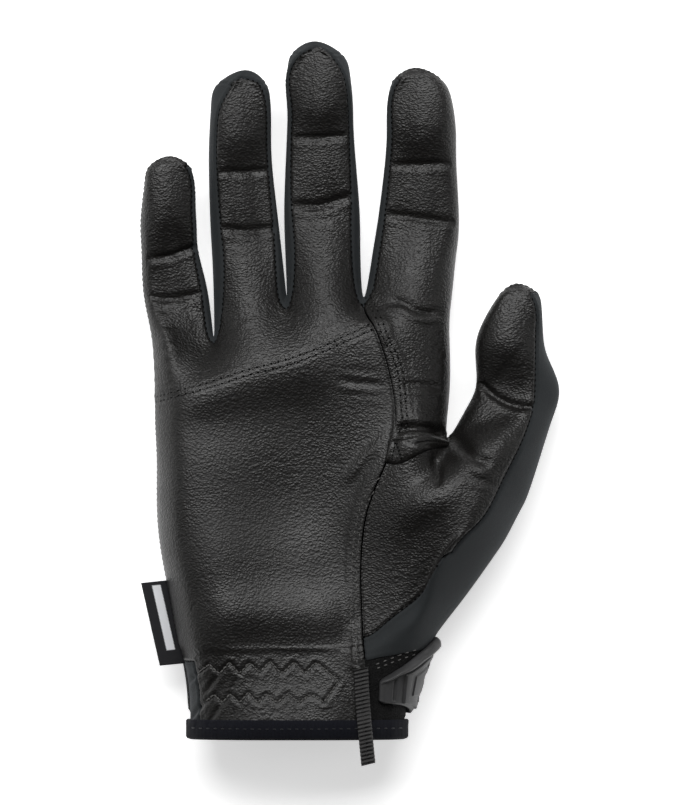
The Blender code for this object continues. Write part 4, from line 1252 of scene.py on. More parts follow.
# The fold of leather sewn over the end of the index seam: its middle line and half widths in
# pixels, and how far it stands off the skin in metres.
CROTCH_LINE = ((386.5, 451), (392, 452), (398, 452.5), (406, 449.5), (414, 446), (422, 443.5),
               (432, 442.5), (441, 443), (449, 444))
CROTCH_HALVES = (11.0, 12.5, 12.0, 10.5, 9.5, 8.5, 6.5, 4.5, 2.5)
CROTCH_LIFT = 0.0016
CROTCH_STEPS = (64, 20)
CROTCH_FLATTEN = 0.45
CROTCH_SMOOTHING = 6
CROTCH_CREASE = 0.0004
CROTCH_HOLE_STEPS = (7, 13)


def crotch_strip(skin, leather, black):
    """A folded leather strip over the thumb crotch, with two short rows of stitches."""
    steps, across = CROTCH_STEPS
    line = smooth_path(CROTCH_LINE, 0.5)
    shares = np.linspace(0, 1, steps + 1)
    dense = np.linspace(0, 1, len(line))
    line = np.stack([np.interp(shares, dense, column) for column in line.T], axis=1)
    halves = np.interp(shares, np.linspace(0, 1, len(CROTCH_HALVES)), CROTCH_HALVES)
    ahead = np.gradient(line, axis=0)
    ahead /= np.linalg.norm(ahead, axis=1, keepdims=True)
    sideways = np.stack([-ahead[:, 1], ahead[:, 0]], axis=1)
    side = np.linspace(-1, 1, across + 1)
    pixels = line[:, None] + sideways[:, None] * halves[:, None, None] * side[None, :, None]
    base = np.zeros((steps + 1, across + 1, 3))
    for step in range(steps + 1):
        base[step], _ = laid(skin, at(pixels[step]))
    middle = running_mean(base[:, across // 2, 2], CROTCH_SMOOTHING)
    height = middle[:, None] + (base[:, :, 2] - middle[:, None]) * CROTCH_FLATTEN
    swell = np.sqrt(np.clip(1 - np.abs(side) ** 3, 0, 1))
    ends = np.sqrt(np.clip(np.minimum(shares, 1 - shares) / 0.03, 0.08, 1))
    lift = CROTCH_LIFT * swell[None, :] * ends[:, None]
    crease = CROTCH_CREASE * bell(side, 0.12, -0.15)[None, :] * smooth_step(0.35, 0.6, shares)[:, None]
    upper = base.copy()
    upper[:, :, 2] = height + lift - crease
    lower = base.copy()
    lower[:, :, 2] = height - CROTCH_LIFT
    co, faces = sheet_between(lower, upper)
    add_mesh("crotch_strip", co, faces, leather)
    runs = []
    for step in CROTCH_HOLE_STEPS:
        points = upper[step, 3:across - 2:3]
        runs.append((points, np.tile((0.0, 0.0, 1.0), (len(points), 1))))
    # Near-black beads for the crotch stitches: black thread with the holes' painted shade.
    beads("crotch_hole_thread_and_shade", runs, NEEDLE_HOLE, black)


ZIGZAG_PITCH = 0.0017
ZIGZAG_THREAD = {"length": 0.0014, "radius": 0.00030, "sink": 0.0002, "raised": 0.00028}


def zigzag_stitches(skin, finish):
    """Thread along the zigzag rows of the wrist."""
    rows = [even_path(at(zigzag(name)), ZIGZAG_PITCH) for name in ZIGZAGS]
    # The zigzag thread is pale grey as a painted glint on the stitches' peaks.
    stitching("wrist_stitches", skin, rows, "leather", finish, pitch=ZIGZAG_PITCH, **ZIGZAG_THREAD)


# The binding's turn round the cuff's edge in steps, and how far its upper corners are taken
# off along the tape and across it.
BINDING_TURN = 5
CORNER_DROP = 0.0005
CORNER_WIDTH = 0.0004
BINDING_LIP = 0.0003


def binding_outline():
    """The binding's section: seat, offset from the wall and height over the cuff's edge."""
    outer, inner = TRIM_GAP + BINDING_WALL, -(FABRIC_WALL + TRIM_GAP + BINDING_WALL)
    middle, half = (outer + inner) / 2, (outer - inner) / 2
    outline = [("top", outer - CORNER_WIDTH, BINDING_HEIGHT),
               ("top", outer, BINDING_HEIGHT - CORNER_DROP), ("edge", outer, BINDING_HEIGHT / 2)]
    for step in range(BINDING_TURN + 1):
        turn = math.pi * step / BINDING_TURN
        under = -TRIM_GAP - BINDING_WALL * math.sin(turn)
        outline.append(("edge", middle + half * math.cos(turn), under))
    outline += [("edge", inner, BINDING_HEIGHT / 2), ("top", inner, BINDING_HEIGHT - CORNER_DROP),
                ("top", inner + CORNER_WIDTH, BINDING_HEIGHT),
                ("top", -(FABRIC_WALL + TRIM_GAP), BINDING_HEIGHT - BINDING_LIP),
                ("edge", -(FABRIC_WALL + TRIM_GAP), -TRIM_GAP / 2),
                ("edge", TRIM_GAP, -TRIM_GAP / 2), ("top", TRIM_GAP, BINDING_HEIGHT - BINDING_LIP)]
    return outline


def cuff_binding(skin, fine, finish):
    """Knit tape folded over the cuff's edge, its upper corners taken off."""
    edge = sorted({vertex for pair in fine.open_edges for vertex in pair})
    points, normals = fine.co[edge], fine.normals[edge]
    middle = points.mean(axis=0)
    order = np.argsort(np.arctan2(points[:, 2] - middle[2], points[:, 0] - middle[0]))
    edge_y = points[:, 1].mean()
    rings = []
    for index in order:
        point, normal = points[index], normals[index] * (1, 0, 1)
        normal = normal / np.linalg.norm(normal)
        top, top_normal = skin.hit(point + normal * PALM_DEPTH + (0, BINDING_HEIGHT, 0), -normal)
        top_normal = top_normal * (1, 0, 1)
        top_normal = top_normal / np.linalg.norm(top_normal)
        ring = []
        for seat, offset, height in binding_outline():
            base, away = (top, top_normal) if seat == "top" else (point, normal)
            place = base + away * offset
            ring.append(np.array((place[0], edge_y + height, place[2])))
        rings.append(ring)
    co, faces = swept(rings, closed=True)
    obj = add_mesh("binding_piece", co, outward(co, faces), finish)
    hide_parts("cuff_binding")
    return obj


class Cover:
    """The top of a finished piece, for stitches that are laid on it."""

    def __init__(self, piece):
        mesh = piece.data
        co = [vertex.co.copy() for vertex in mesh.vertices]
        self.tree = BVHTree.FromPolygons(co, [tuple(polygon.vertices) for polygon in mesh.polygons])

    def over(self, place):
        start = Vector((place[0], place[1], 3 * PALM_DEPTH))
        point, normal, _, _ = self.tree.ray_cast(start, Vector((0, 0, -1)))
        if point is None:
            raise ValueError(f"no cover at {tuple(place)}")
        return np.array(point), np.array(normal)


def binding_stitches(binding, finish):
    row = smooth_path(at(BINDING_ROW), STITCH_PITCH)
    stitching("binding_stitches", Cover(binding), [row], "knit_binding", finish, sink=0.00025)


def strap_band(angle):
    """Middle height and half width of the strap and its tab, by angle round the wrist."""
    palm_side = min(max(angle / TAB_END, 0.0), 1.0)
    middle = (BAND_MIDDLE_SHARE - TAB_DROP_SHARE * palm_side) * PALM_LENGTH
    return middle, STRAP_WIDTH / 2 * (1.0 - TAB_TAPER_SHARE * palm_side**TAB_TAPER_POWER)


# The share of the tab's length over which each of its ends is rounded, and its least breadth.
TAB_ROUNDING = 0.05
END_BREADTH = 0.72


def band_grid(skin, first, last, steps, across, rounding=0.0):
    """Skin points and normals over a band round the wrist, with each point's shares."""
    points = np.zeros((steps + 1, across + 1, 3))
    normals = np.zeros_like(points)
    for step in range(steps + 1):
        angle = first + (last - first) * step / steps
        middle, half = strap_band(angle)
        if rounding:
            near_end = min(step, steps - step) / steps / rounding
            full = math.sqrt(1 - (1 - min(near_end, 1.0)) ** 2)
            half *= END_BREADTH + (1 - END_BREADTH) * full
        for c in range(across + 1):
            points[step, c], normals[step, c] = skin.wrist(middle + half * (2 * c / across - 1), angle)
    shares = np.linspace(0, 1, steps + 1), np.linspace(-1, 1, across + 1)
    return points, normals, *np.meshgrid(*shares, indexing="ij")


def eased(points, rounds):
    """A grid of points smoothed along both ways, with its edges kept."""
    points = points.copy()
    for _ in range(rounds):
        inner = (points[:-2, 1:-1] + points[2:, 1:-1] + points[1:-1, :-2] + points[1:-1, 2:]) / 4
        points[1:-1, 1:-1] = inner
    return points


# The strap's grid, its edge's rounding, and the row of stitches along each side of it.
STRAP_GRID = (120, 24)
STRAP_EDGE = 0.12
STRAP_ROW = (0.82, 0.05, 0.00025, 38)


def closure_strap(skin, finish):
    """The strap round the back of the wrist, with rounded edges and a row of edge stitches."""
    points, normals, along, side = band_grid(skin, STRAP_START, STRAP_END, *STRAP_GRID)
    edge = np.minimum(1 - np.abs(side), 16 * np.minimum(along, 1 - along))
    thick = STRAP_WALL * (0.45 + 0.55 * np.sqrt(np.clip(edge / STRAP_EDGE, 0, 1)))
    place, width, depth, stitches = STRAP_ROW
    wave = 0.6 + 0.4 * np.cos(along * 2 * np.pi * stitches)
    thick -= depth * bell(np.abs(side), width, place) * wave
    lower = points + normals * STRAP_GAP
    upper = points + normals * (STRAP_GAP + thick)[..., None]
    co, faces = sheet_between(lower, upper)
    obj = add_mesh("strap_piece", co, faces, finish)
    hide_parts("closure_strap")
    return obj


# The moulded tab: its grid and smoothing, and its frames. A frame runs from start to end along
# the tab and from low to high across it, and rises by a share of the tab's wall. The second one
# holds the slanting ribs, up to RIB_END.
TAB_GRID = (240, 120)
TAB_EASING = 40
FRAME_COLUMNS = ("start", "end", "low", "high", "rise")
TAB_FRAMES = (
    (-1.00, 0.76, -0.88, 0.62, 0.34),
    (-1.00, 0.68, -0.70, 0.44, -0.20),
    (0.30, 0.60, -0.54, 0.28, 0.16),
)
FRAME_EDGES = (0.012, 0.04)
RIB_END = 0.27


def tab_relief(along, side):
    """How thick the moulded tab is, by its shares from its strap end to its free end."""
    ends = np.minimum(along, 1 - along)
    edge = np.clip(np.minimum(ends * 26, (1 - np.abs(side)) * 8), 0.0, 1.0)
    rim = np.sqrt(np.clip(1 - ((side - 0.84) / 0.15) ** 2, 0.0, 1.0))
    height = 0.35 + 0.40 * np.sqrt(edge) + 0.45 * rim * smooth_step(0.0, 0.06, 1 - along)
    long_edge, side_edge = FRAME_EDGES
    zones = []
    for values in TAB_FRAMES:
        frame = dict(zip(FRAME_COLUMNS, values))
        zone = smooth_step(0.0, long_edge, frame["end"] - along)
        zone = zone * smooth_step(0.0, long_edge, along - frame["start"])
        zone = zone * smooth_step(0.0, side_edge, side - frame["low"])
        zone = zone * smooth_step(0.0, side_edge, frame["high"] - side)
        height += frame["rise"] * zone
        zones.append(zone)
    ribs = 0.5 + 0.5 * np.cos((along * 1.9 + side * 0.55) * 2 * np.pi * 3.4)
    ribs = smooth_step(0.35, 0.65, ribs) * smooth_step(0.0, 0.02, RIB_END - along)
    slot = bell(along, 0.012, 0.86) * smooth_step(0.0, 0.05, 0.55 - side)
    slot = slot * smooth_step(0.0, 0.05, side + 0.8)
    return TAB_WALL * (height + 0.26 * ribs * zones[1] - 0.22 * slot)


def strap_tab(skin, finish):
    """The strap's moulded rubber end: a bead round it, a raised frame and slanting ribs."""
    points, normals, along, side = band_grid(skin, TAB_START, TAB_END, *TAB_GRID, TAB_ROUNDING)
    points = eased(points, TAB_EASING)
    lower = points + normals * TRIM_GAP
    upper = points + normals * (TRIM_GAP + tab_relief(along, side))[..., None]
    co, faces = sheet_between(lower, upper)
    obj = add_mesh("strap_tab_piece", co, faces, finish)
    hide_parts("strap_tab")
    return obj


# The pull tab's ribs, the spacing of its rings, and its section round from its left edge, in
# shares of its half width and its wall.
RIB_PITCH = 0.00135
RIB_DEPTH = 0.38
RIB_SPREAD = 0.04
PULL_SPACING = 0.00015
PULL_SMOOTHING = 12
PULL_SLANT = 0.0006
PULL_SECTION = ((-1.0, 0.25), (-0.9, 0.0), (0.0, 0.0), (0.9, 0.0), (1.0, 0.25), (1.0, 0.7),
                (0.86, 0.96), (0.45, 1.0), (0.06, 0.97), (0.0, 0.72), (-0.06, 0.97), (-0.45, 1.0),
                (-0.86, 0.96), (-1.0, 0.7))


def pull_route():
    """Places of the pull tab's middle line, from its sewn top to its free end."""
    top_y = PULL_TOP_SHARE * PALM_LENGTH
    places = []
    y = top_y
    while y > -PULL_OVERHANG:
        share = max(0.0, 1 - max(y, 0.0) / top_y)
        lean = PULL_LEAN_SHARE * HAND_BREADTH * share**PULL_LEAN_POWER
        places.append((PULL_SEAT_SHARE * HAND_BREADTH + lean + max(0.0, -y) * 0.1, y))
        y -= PULL_SPACING
    return np.array(places) - ORIGIN[:2]


def pull_tab(skin, finish):
    """Doubled ribbed webbing down the long seam, over the binding and past the cuff."""
    route = pull_route()
    edge_y = skin.co[[a for a, _ in skin.open_edges]][:, 1].mean()
    binding_top = edge_y + BINDING_HEIGHT
    heights = []
    for x, y in route:
        sides = [skin.over((x + offset, max(y, edge_y + TRIM_GAP)))[0][2]
                 for offset in (-PULL_WIDTH / 2, 0.0, PULL_WIDTH / 2)]
        over = smooth_step(binding_top + PULL_CLIMB / 2, binding_top, y)
        heights.append(max(sides) + TRIM_GAP * 0.5 + over * (BINDING_WALL + TRIM_GAP))
    heights = running_mean(heights, PULL_SMOOTHING)
    rings = []
    for step, ((x, y), z) in enumerate(zip(route, heights)):
        run = step * PULL_SPACING
        rib = 0.5 + 0.5 * math.cos(2 * math.pi * run / RIB_PITCH)
        wall = PULL_WALL * (1 - RIB_DEPTH * (1 - rib))
        half = PULL_WIDTH / 2 * (1 - RIB_SPREAD * (1 - rib))
        lift = z - 0.5 * PULL_SAG * max(0.0, edge_y - y) / PULL_OVERHANG
        rings.append([np.array((x + half * across, y + PULL_SLANT * across, lift + wall * up))
                      for across, up in PULL_SECTION])
    co, faces = swept(rings, closed=False)
    obj = add_mesh("pull_tab_piece", co, outward(co, faces), finish)
    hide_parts("pull_tab")
    return obj


LABEL_GRID = (60, 18)
LABEL_CURL = 0.0005


def side_label(skin, finish):
    """A woven tape folded in two and caught in the side seam, left bare of words."""
    steps, across = LABEL_GRID
    height = row_sizes(LABEL_ROW)["deep"] / 2
    upper = np.zeros((steps + 1, across + 1, 3))
    lower = np.zeros_like(upper)
    top = LABEL_TOP_SHARE * PALM_LENGTH
    ends = [skin.hit((-HAND_BREADTH, y - ORIGIN[1], height), (1, 0, 0))[0][0]
            for y in (top, top - LABEL_LENGTH)]
    for step in range(steps + 1):
        y = top - LABEL_LENGTH * step / steps
        seam = ends[0] + (ends[1] - ends[0]) * step / steps
        for c in range(across + 1):
            share = c / across
            curl = LABEL_CURL * math.sin(math.pi * step / steps) * share
            x = seam - TRIM_GAP / 4 - LABEL_WIDTH * share
            place = np.array((x, y - ORIGIN[1] - LABEL_TILT_SHARE * LABEL_WIDTH * share, height + curl))
            fold = LABEL_WALL / 2 * math.sqrt(max(0.05, 1 - max(0.0, share - 0.9) ** 2 / 0.01))
            upper[step, c] = place + (0, 0, fold)
            lower[step, c] = place - (0, 0, fold)
    co, faces = sheet_between(lower, upper)
    obj = add_mesh("label_piece", co, faces, finish)
    layer = obj.data.uv_layers.new(name="tape")
    grid = np.meshgrid(np.linspace(0, 1, across + 1), np.linspace(0, 1, steps + 1))
    shares = np.tile(np.stack(grid, axis=-1).reshape(-1, 2), (2, 1))
    corners = values_of(obj.data.loops, "vertex_index", 1, np.int64)[:, 0]
    layer.data.foreach_set("uv", shares[corners].ravel())
    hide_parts("side_label")
    return obj


class Finish:
    """A procedural material, built node by node round one Principled shader."""

    def __init__(self, name, **sockets):
        self.material = bpy.data.materials.new(name)
        self.material.use_nodes = True
        self.nodes = self.material.node_tree.nodes
        self.shader = self.nodes["Principled BSDF"]
        self.place = self.node("ShaderNodeTexCoord").outputs["Object"]
        for socket, value in sockets.items():
            self.shader.inputs[socket.replace("_", " ")].default_value = value

    def node(self, kind, settings=None, **inputs):
        made = self.nodes.new(kind)
        for key, value in (settings or {}).items():
            setattr(made, key, value)
        for key, value in inputs.items():
            self.set(made, key.replace("_", " "), value)
        return made

    def set(self, node, socket, value):
        target = node.inputs[int(socket)] if socket.isdigit() else node.inputs[socket]
        if hasattr(value, "default_value") and hasattr(value, "node"):
            self.material.node_tree.links.new(value, target)
        else:
            target.default_value = value

    def stretched(self, scale, turn=(0.0, 0.0, 0.0)):
        """The object's own coordinates, stretched and turned."""
        return self.node("ShaderNodeMapping", Vector=self.place, Scale=scale,
                         Rotation=turn).outputs["Vector"]

    def noise(self, vector, scale, detail=2.0, rough=0.5):
        return self.node("ShaderNodeTexNoise", Vector=vector, Scale=scale, Detail=detail,
                         Roughness=rough).outputs["Fac"]

    def cells(self, vector, scale, smoothness):
        return self.node("ShaderNodeTexVoronoi", {"feature": "SMOOTH_F1"}, Vector=vector,
                         Scale=scale, Smoothness=smoothness).outputs["Distance"]

    def math(self, operation, first, second=0.0):
        made = self.node("ShaderNodeMath", {"operation": operation})
        self.set(made, "0", first)
        self.set(made, "1", second)
        return made.outputs["Value"]

    def span(self, value, low, high, start, end):
        return self.node("ShaderNodeMapRange", Value=value, From_Min=low, From_Max=high,
                         To_Min=start, To_Max=end).outputs["Result"]

    def colours(self, factor, dark, light):
        made = self.node("ShaderNodeMix", {"data_type": "RGBA"})
        self.set(made, "0", factor)
        made.inputs[6].default_value = (*dark, 1.0)
        made.inputs[7].default_value = (*light, 1.0)
        self.set(self.shader, "Base Color", made.outputs[2])

    def wave(self, vector, axis, pitch):
        """Even waves across one axis."""
        part = self.node("ShaderNodeSeparateXYZ", Vector=vector).outputs[axis]
        return self.math("SINE", self.math("MULTIPLY", part, 2 * math.pi / pitch))

    def rough(self, value):
        self.set(self.shader, "Roughness", value)

    def bumps(self, *layers):
        """Bump from heights in metres, each a value and how high its whole range stands."""
        normal = None
        for value, height in layers:
            made = self.node("ShaderNodeBump", Height=value, Distance=height, Strength=1.0)
            if normal is not None:
                self.set(made, "Normal", normal)
            normal = made.outputs["Normal"]
        self.set(self.shader, "Normal", normal)


def leather_finish(name, stretch, grain, turn=0.0):
    """Black grained leather: pebbles drawn out across the pull, fine creases and pores."""
    made = Finish(name, IOR=1.45, Specular_IOR_Level=0.42)
    wander = made.node("ShaderNodeTexNoise", Vector=made.place, Scale=260.0, Detail=2.0)
    mixed = made.node("ShaderNodeMix", {"data_type": "VECTOR"})
    made.set(mixed, "0", 0.0016)
    made.set(mixed, "4", made.stretched(stretch, (0, 0, turn)))
    made.set(mixed, "5", wander.outputs["Color"])
    place = mixed.outputs[1]
    pebbles = made.cells(place, 1300.0, 0.25)
    creases = made.noise(made.stretched((0.55, 1.0, 1.0), (0, 0, turn)), 700.0, 3.0, 0.6)
    pores = made.noise(made.place, 3800.0, 2.0, 0.6)
    broad = made.noise(made.place, 42.0, 3.0, 0.55)
    made.colours(made.span(pebbles, 0.05, 0.75, 1.0, 0.0), (0.0022, 0.0020, 0.0018),
                 (0.0080, 0.0072, 0.0064))
    shine = made.math("ADD", made.span(broad, 0.35, 0.65, 0.30, 0.42),
                      made.span(pebbles, 0.1, 0.8, 0.0, 0.12))
    made.rough(shine)
    made.bumps((made.span(pebbles, 0.0, 0.8, 1.0, 0.0), grain), (creases, grain), (pores, 0.00002))
    return made.material


def softshell_finish(name):
    """Dark slate stretch fabric: fine knit, faint slubs and a soft bloom at grazing angles."""
    made = Finish(name, Sheen_Weight=0.08, Sheen_Roughness=0.45, Specular_IOR_Level=0.3)
    made.shader.inputs["Sheen Tint"].default_value = (0.55, 0.62, 0.68, 1.0)
    slubs = made.noise(made.stretched((1.0, 0.35, 1.0)), 2600.0, 2.0, 0.6)
    cloud = made.noise(made.place, 55.0, 3.0, 0.5)
    across = made.wave(made.place, "X", 0.00042)
    along = made.wave(made.place, "Y", 0.00036)
    knit = made.math("MULTIPLY", across, along)
    made.colours(made.span(made.math("ADD", slubs, cloud), 0.7, 1.3, 0.0, 1.0),
                 (0.0085, 0.0102, 0.0112), (0.0135, 0.0160, 0.0175))
    made.rough(made.span(slubs, 0.3, 0.7, 0.72, 0.88))
    made.bumps((knit, 0.00003), (slubs, 0.00006))
    return made.material


def knit_finish(name):
    """Navy-black knit tape with fine upright ribs."""
    made = Finish(name, Specular_IOR_Level=0.15)
    across = made.wave(made.place, "X", 0.00048)
    rows = made.wave(made.place, "Y", 0.00042)
    fuzz = made.noise(made.place, 5200.0, 2.0, 0.7)
    made.colours(made.span(across, -1.0, 1.0, 0.0, 1.0), (0.0022, 0.0024, 0.0042),
                 (0.0056, 0.0062, 0.0105))
    made.rough(made.span(fuzz, 0.2, 0.8, 0.75, 0.95))
    made.bumps((across, 0.00006), (rows, 0.00003), (fuzz, 0.00006))
    return made.material


def strap_finish(name):
    """Black strap fabric with a plain weave."""
    made = Finish(name, Specular_IOR_Level=0.25)
    weave = made.math("MULTIPLY", *(made.wave(made.place, axis, 0.0009) for axis in "XY"))
    fuzz = made.noise(made.place, 4200.0, 2.0, 0.6)
    made.colours(made.span(fuzz, 0.3, 0.7, 0.0, 1.0), (0.010, 0.011, 0.012), (0.020, 0.021, 0.023))
    made.rough(made.span(weave, -1.0, 1.0, 0.75, 0.9))
    made.bumps((weave, 0.00010), (fuzz, 0.00004))
    return made.material


def rubber_finish(name):
    """Dark grey moulded rubber, satin, a little polished where it is handled."""
    made = Finish(name, IOR=1.5, Specular_IOR_Level=0.45)
    fine = made.noise(made.place, 3200.0, 3.0, 0.6)
    cloud = made.noise(made.place, 90.0, 2.0, 0.5)
    made.colours(made.span(cloud, 0.3, 0.7, 0.0, 1.0), (0.021, 0.021, 0.0215), (0.032, 0.032, 0.033))
    made.rough(made.span(made.math("ADD", fine, cloud), 0.7, 1.3, 0.40, 0.56))
    made.bumps((fine, 0.00003))
    return made.material


def webbing_finish(name):
    """Black ribbed webbing, its ribs crossed by fine twisted yarns; the yarns' grey is a painted sheen
    of the lit rib tops.
    """
    made = Finish(name, Specular_IOR_Level=0.4)
    yarn_and_painted_sheen = made.wave(made.stretched((1.0, 1.0, 1.0), (0, 0, 0.5)), "X", 0.00034)
    fuzz = made.noise(made.place, 5200.0, 2.0, 0.6)
    # Dark to grey by the yarns: the grey stands in for light on the rib tops, a painted sheen.
    made.colours(made.span(made.math("ADD", yarn_and_painted_sheen, fuzz), -0.6, 1.6, 0.0, 1.0),
                 (0.008, 0.008, 0.009), (0.060, 0.058, 0.057))
    made.rough(made.span(fuzz, 0.2, 0.8, 0.48, 0.70))
    made.bumps((yarn_and_painted_sheen, 0.00007), (fuzz, 0.00004))
    return made.material


def thread_finish(name, colour, shine):
    """Twisted thread with a faint shine."""
    made = Finish(name, Specular_IOR_Level=shine)
    twist = made.wave(made.stretched((1.0, 1.0, 1.0), (0, 0, 0.8)), "X", 0.00022)
    dark = tuple(channel * 0.45 for channel in colour)
    made.colours(made.span(twist, -1.0, 1.0, 0.0, 1.0), dark, colour)
    made.rough(made.span(twist, -1.0, 1.0, 0.55, 0.42))
    made.bumps((twist, 0.00006))
    return made.material


def loop_finish(name):
    """Black fuzzy loop fabric: a matted pile with scattered lighter loops."""
    made = Finish(name, Specular_IOR_Level=0.2)
    pile = made.noise(made.place, 1500.0, 4.0, 0.75)
    loops = made.cells(made.place, 2100.0, 0.2)
    made.colours(made.span(pile, 0.45, 0.75, 0.0, 1.0), (0.0010, 0.0010, 0.0011),
                 (0.0120, 0.0118, 0.0115))
    made.rough(made.span(loops, 0.0, 0.8, 0.7, 0.95))
    made.bumps((pile, 0.00045), (loops, 0.00025))
    return made.material


# The label's white bar, by the shares across and along the tape where it starts and ends.
LABEL_BAR = (0.38, 0.72, 0.04, 0.83)


def label_finish(name):
    """Black woven tape with one plain white bar, its picks showing as fine steps."""
    made = Finish(name, Specular_IOR_Level=0.3)
    tape = made.node("ShaderNodeUVMap", {"uv_map": "tape"}).outputs["UV"]
    split = made.node("ShaderNodeSeparateXYZ", Vector=tape)
    across, along = split.outputs["X"], split.outputs["Y"]
    picks = made.math("SINE", made.math("MULTIPLY", along, 2 * math.pi * 58))
    ends = made.math("SINE", made.math("MULTIPLY", across, 2 * math.pi * 22))
    left, right, top, bottom = LABEL_BAR
    edge = made.math("ADD", across, made.math("MULTIPLY", picks, 0.012))
    inside = made.math("MULTIPLY", made.span(edge, 1 - right, 1 - right + 0.02, 0.0, 1.0),
                       made.span(edge, 1 - left - 0.02, 1 - left, 1.0, 0.0))
    rows = made.math("MULTIPLY", made.span(along, top, top + 0.01, 0.0, 1.0),
                     made.span(along, bottom - 0.01, bottom, 1.0, 0.0))
    bar = made.math("MULTIPLY", inside, rows)
    made.colours(bar, (0.012, 0.012, 0.014), (0.72, 0.73, 0.75))
    weave = made.math("MULTIPLY", picks, ends)
    made.rough(made.span(weave, -1.0, 1.0, 0.65, 0.85))
    made.bumps((weave, 0.00008))
    return made.material


FLOOR_GLOW = 0.55
FLOOR_HALF = 1.6
FLOOR_STEPS = 8
FLOOR_HEIGHT = -0.0001


def floor_finish(name):
    """Near-white paper, with a little glow of its own to keep the shadows soft."""
    made = Finish(name)
    grain = made.noise(made.place, 30.0, 3.0, 0.5)
    made.colours(grain, (0.90, 0.90, 0.90), (0.93, 0.93, 0.93))
    made.rough(made.span(grain, 0.3, 0.7, 0.85, 0.95))
    made.shader.inputs["Emission Color"].default_value = (1.0, 1.0, 1.0, 1.0)
    made.shader.inputs["Emission Strength"].default_value = FLOOR_GLOW
    return made.material


def studio_floor(finish):
    """A large pale floor that the glove lies on."""
    grid = np.linspace(-FLOOR_HALF, FLOOR_HALF, FLOOR_STEPS + 1)
    co = [(x, y, FLOOR_HEIGHT) for y in grid for x in grid]
    starts = [row * len(grid) + c for row in range(FLOOR_STEPS) for c in range(FLOOR_STEPS)]
    faces = [(a, a + 1, a + len(grid) + 1, a + len(grid)) for a in starts]
    mesh = bpy.data.meshes.new("floor")
    mesh.from_pydata(co, [], faces)
    mesh.materials.append(finish)
    obj = bpy.data.objects.new("floor", mesh)
    bpy.context.collection.objects.link(obj)


LIGHT_COLUMNS = ("place", "size", "power")
LIGHTS = {
    "key": ((-0.12, 0.78, 1.12), (1.5, 0.70), 27.0),
    "left": ((-1.15, 0.20, 0.55), (0.5, 1.2), 2.2),
    "right": ((1.15, 0.10, 0.55), (0.5, 1.2), 2.2),
}
WORLD_LIGHT = 0.05


def studio_lights():
    """Soft area lights, all turned to the glove, and a faint even light from the world."""
    for name, values in LIGHTS.items():
        light = dict(zip(LIGHT_COLUMNS, values))
        lamp = bpy.data.lights.new(name, "AREA")
        lamp.shape = "RECTANGLE"
        lamp.size, lamp.size_y = light["size"]
        lamp.energy = light["power"]
        obj = bpy.data.objects.new(name, lamp)
        obj.location = light["place"]
        obj.visible_camera = False
        obj.rotation_mode = "QUATERNION"
        obj.rotation_quaternion = (-Vector(light["place"])).to_track_quat("-Z", "Y")
        bpy.context.collection.objects.link(obj)
    world = bpy.data.worlds.new("studio")
    world.use_nodes = True
    world.node_tree.nodes["Background"].inputs["Color"].default_value = (1.0, 1.0, 1.0, 1.0)
    world.node_tree.nodes["Background"].inputs["Strength"].default_value = WORLD_LIGHT
    bpy.context.scene.world = world


def photo_camera():
    """Straight down on the palm, at the photograph's scale."""
    lens = bpy.data.cameras.new("camera")
    lens.lens = LENS
    lens.sensor_width = SENSOR
    lens.clip_end = 20.0
    obj = bpy.data.objects.new("camera", lens)
    middle = at((PICTURE[0] / 2, PICTURE[1] / 2))
    distance = PICTURE[1] * PIXEL / SENSOR * LENS
    obj.location = (middle[0], middle[1], FOCUS_HEIGHT + distance)
    bpy.context.collection.objects.link(obj)
    bpy.context.scene.camera = obj


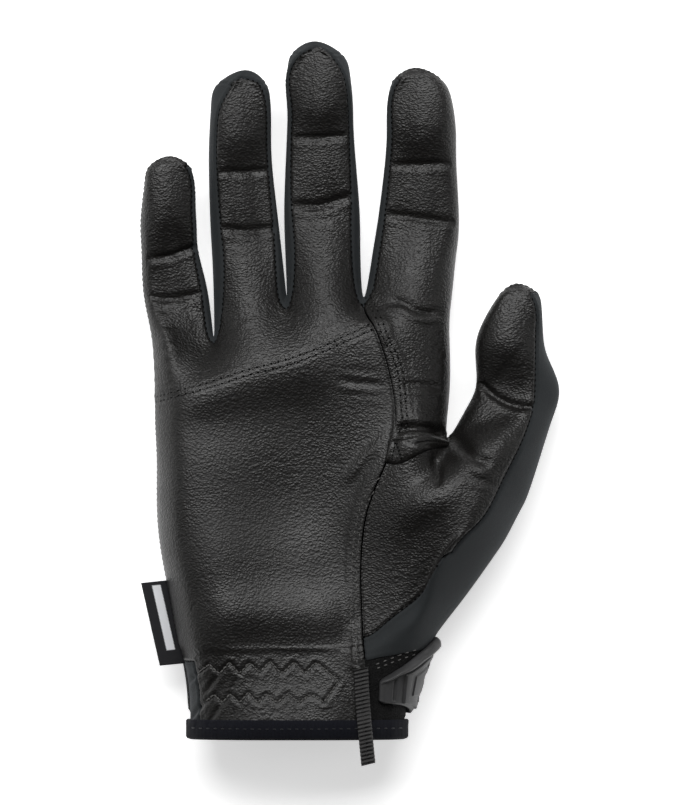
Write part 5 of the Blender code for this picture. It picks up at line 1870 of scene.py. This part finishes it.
def main():
    finishes = {
        "palm": leather_finish("leather_palm", (0.80, 1.0, 1.0), 0.00012, 0.5),
        "fingers": leather_finish("leather_fingers", (0.80, 1.10, 1.0), 0.00016),
        "softshell": softshell_finish("softshell"),
        "loop": loop_finish("loop_fabric"),
        "knit": knit_finish("knit_binding"),
        "strap": strap_finish("strap_fabric"),
        "rubber": rubber_finish("rubber"),
        "webbing": webbing_finish("webbing"),
        "label": label_finish("label"),
        # Near-black matte thread for the needle holes, seam ticks and crotch stitches: black thread,
        # made darker than the leather as painted shade of the needle holes.
        "thread_and_hole_shade": thread_finish("black_thread_hole_shade", (0.0015, 0.0015, 0.0015), 0.05),
        "knit_thread": thread_finish("knit_thread", (0.020, 0.021, 0.024), 0.4),
        # Thread whose pale grey colour is a painted glint, lighter than the black thread so that its
        # highlights show.
        "painted_glint_thread": thread_finish("painted_glint_thread", (0.130, 0.127, 0.122), 0.5),
        "floor": floor_finish("floor"),
    }
    fine, coarse = smooth_skins((FINE_LEVEL, INNER_LEVEL))
    fine.open_edges = border_edges(fine.quads)
    tree = point_tree(fine.co)
    link = np.array([tree.find(point)[1] for point in coarse.co])
    facing = smooth_step(*FACING, fine.normals[:, 2])
    relief, slits, drops = seam_relief(fine)
    relief += facing * front_relief(fine.co[:, :2])
    shaped = fine.co + fine.normals * relief[:, None]
    shaped[:, 2] = np.maximum(shaped[:, 2], 0.0)
    seams = (slits, drops, vertex_normals(shaped, fine.quads))
    for name in PANELS:
        leather = PANEL_WALLS[name] == LEATHER_WALL
        if name == "wrist_loop_panel":
            finish, slot = finishes["loop"], "loop_fabric"
        elif leather:
            finish = finishes["palm" if name == "palm_panel" else "fingers"]
            slot = "leather"
        else:
            finish, slot = finishes["softshell"], "softshell"
        panel_piece(name, fine, shaped, coarse, link, seams, finish)
    skin = Skin(fine, shaped)
    flat_seams(skin, finishes["palm"], finishes["thread_and_hole_shade"], finishes["painted_glint_thread"])
    seam_ticks(skin, fine, finishes["thread_and_hole_shade"])
    crotch_strip(skin, finishes["palm"], finishes["thread_and_hole_shade"])
    zigzag_stitches(skin, finishes["painted_glint_thread"])
    # The loop patch's thread is pale grey as a painted glint.
    stitching("loop_stitches", skin, [smooth_path(at(row), STITCH_PITCH) for row in LOOP_ROWS],
              "loop_fabric", finishes["painted_glint_thread"])
    binding = cuff_binding(skin, fine, finishes["knit"])
    binding_stitches(binding, finishes["knit_thread"])
    closure_strap(skin, finishes["strap"])
    strap_tab(skin, finishes["rubber"])
    pull_tab(skin, finishes["webbing"])
    side_label(skin, finishes["label"])
    studio_floor(finishes["floor"])
    studio_lights()
    photo_camera()
    bpy.context.scene.view_settings.view_transform = "Standard"


ORIGIN = np.array(middle_of_outline())
main()
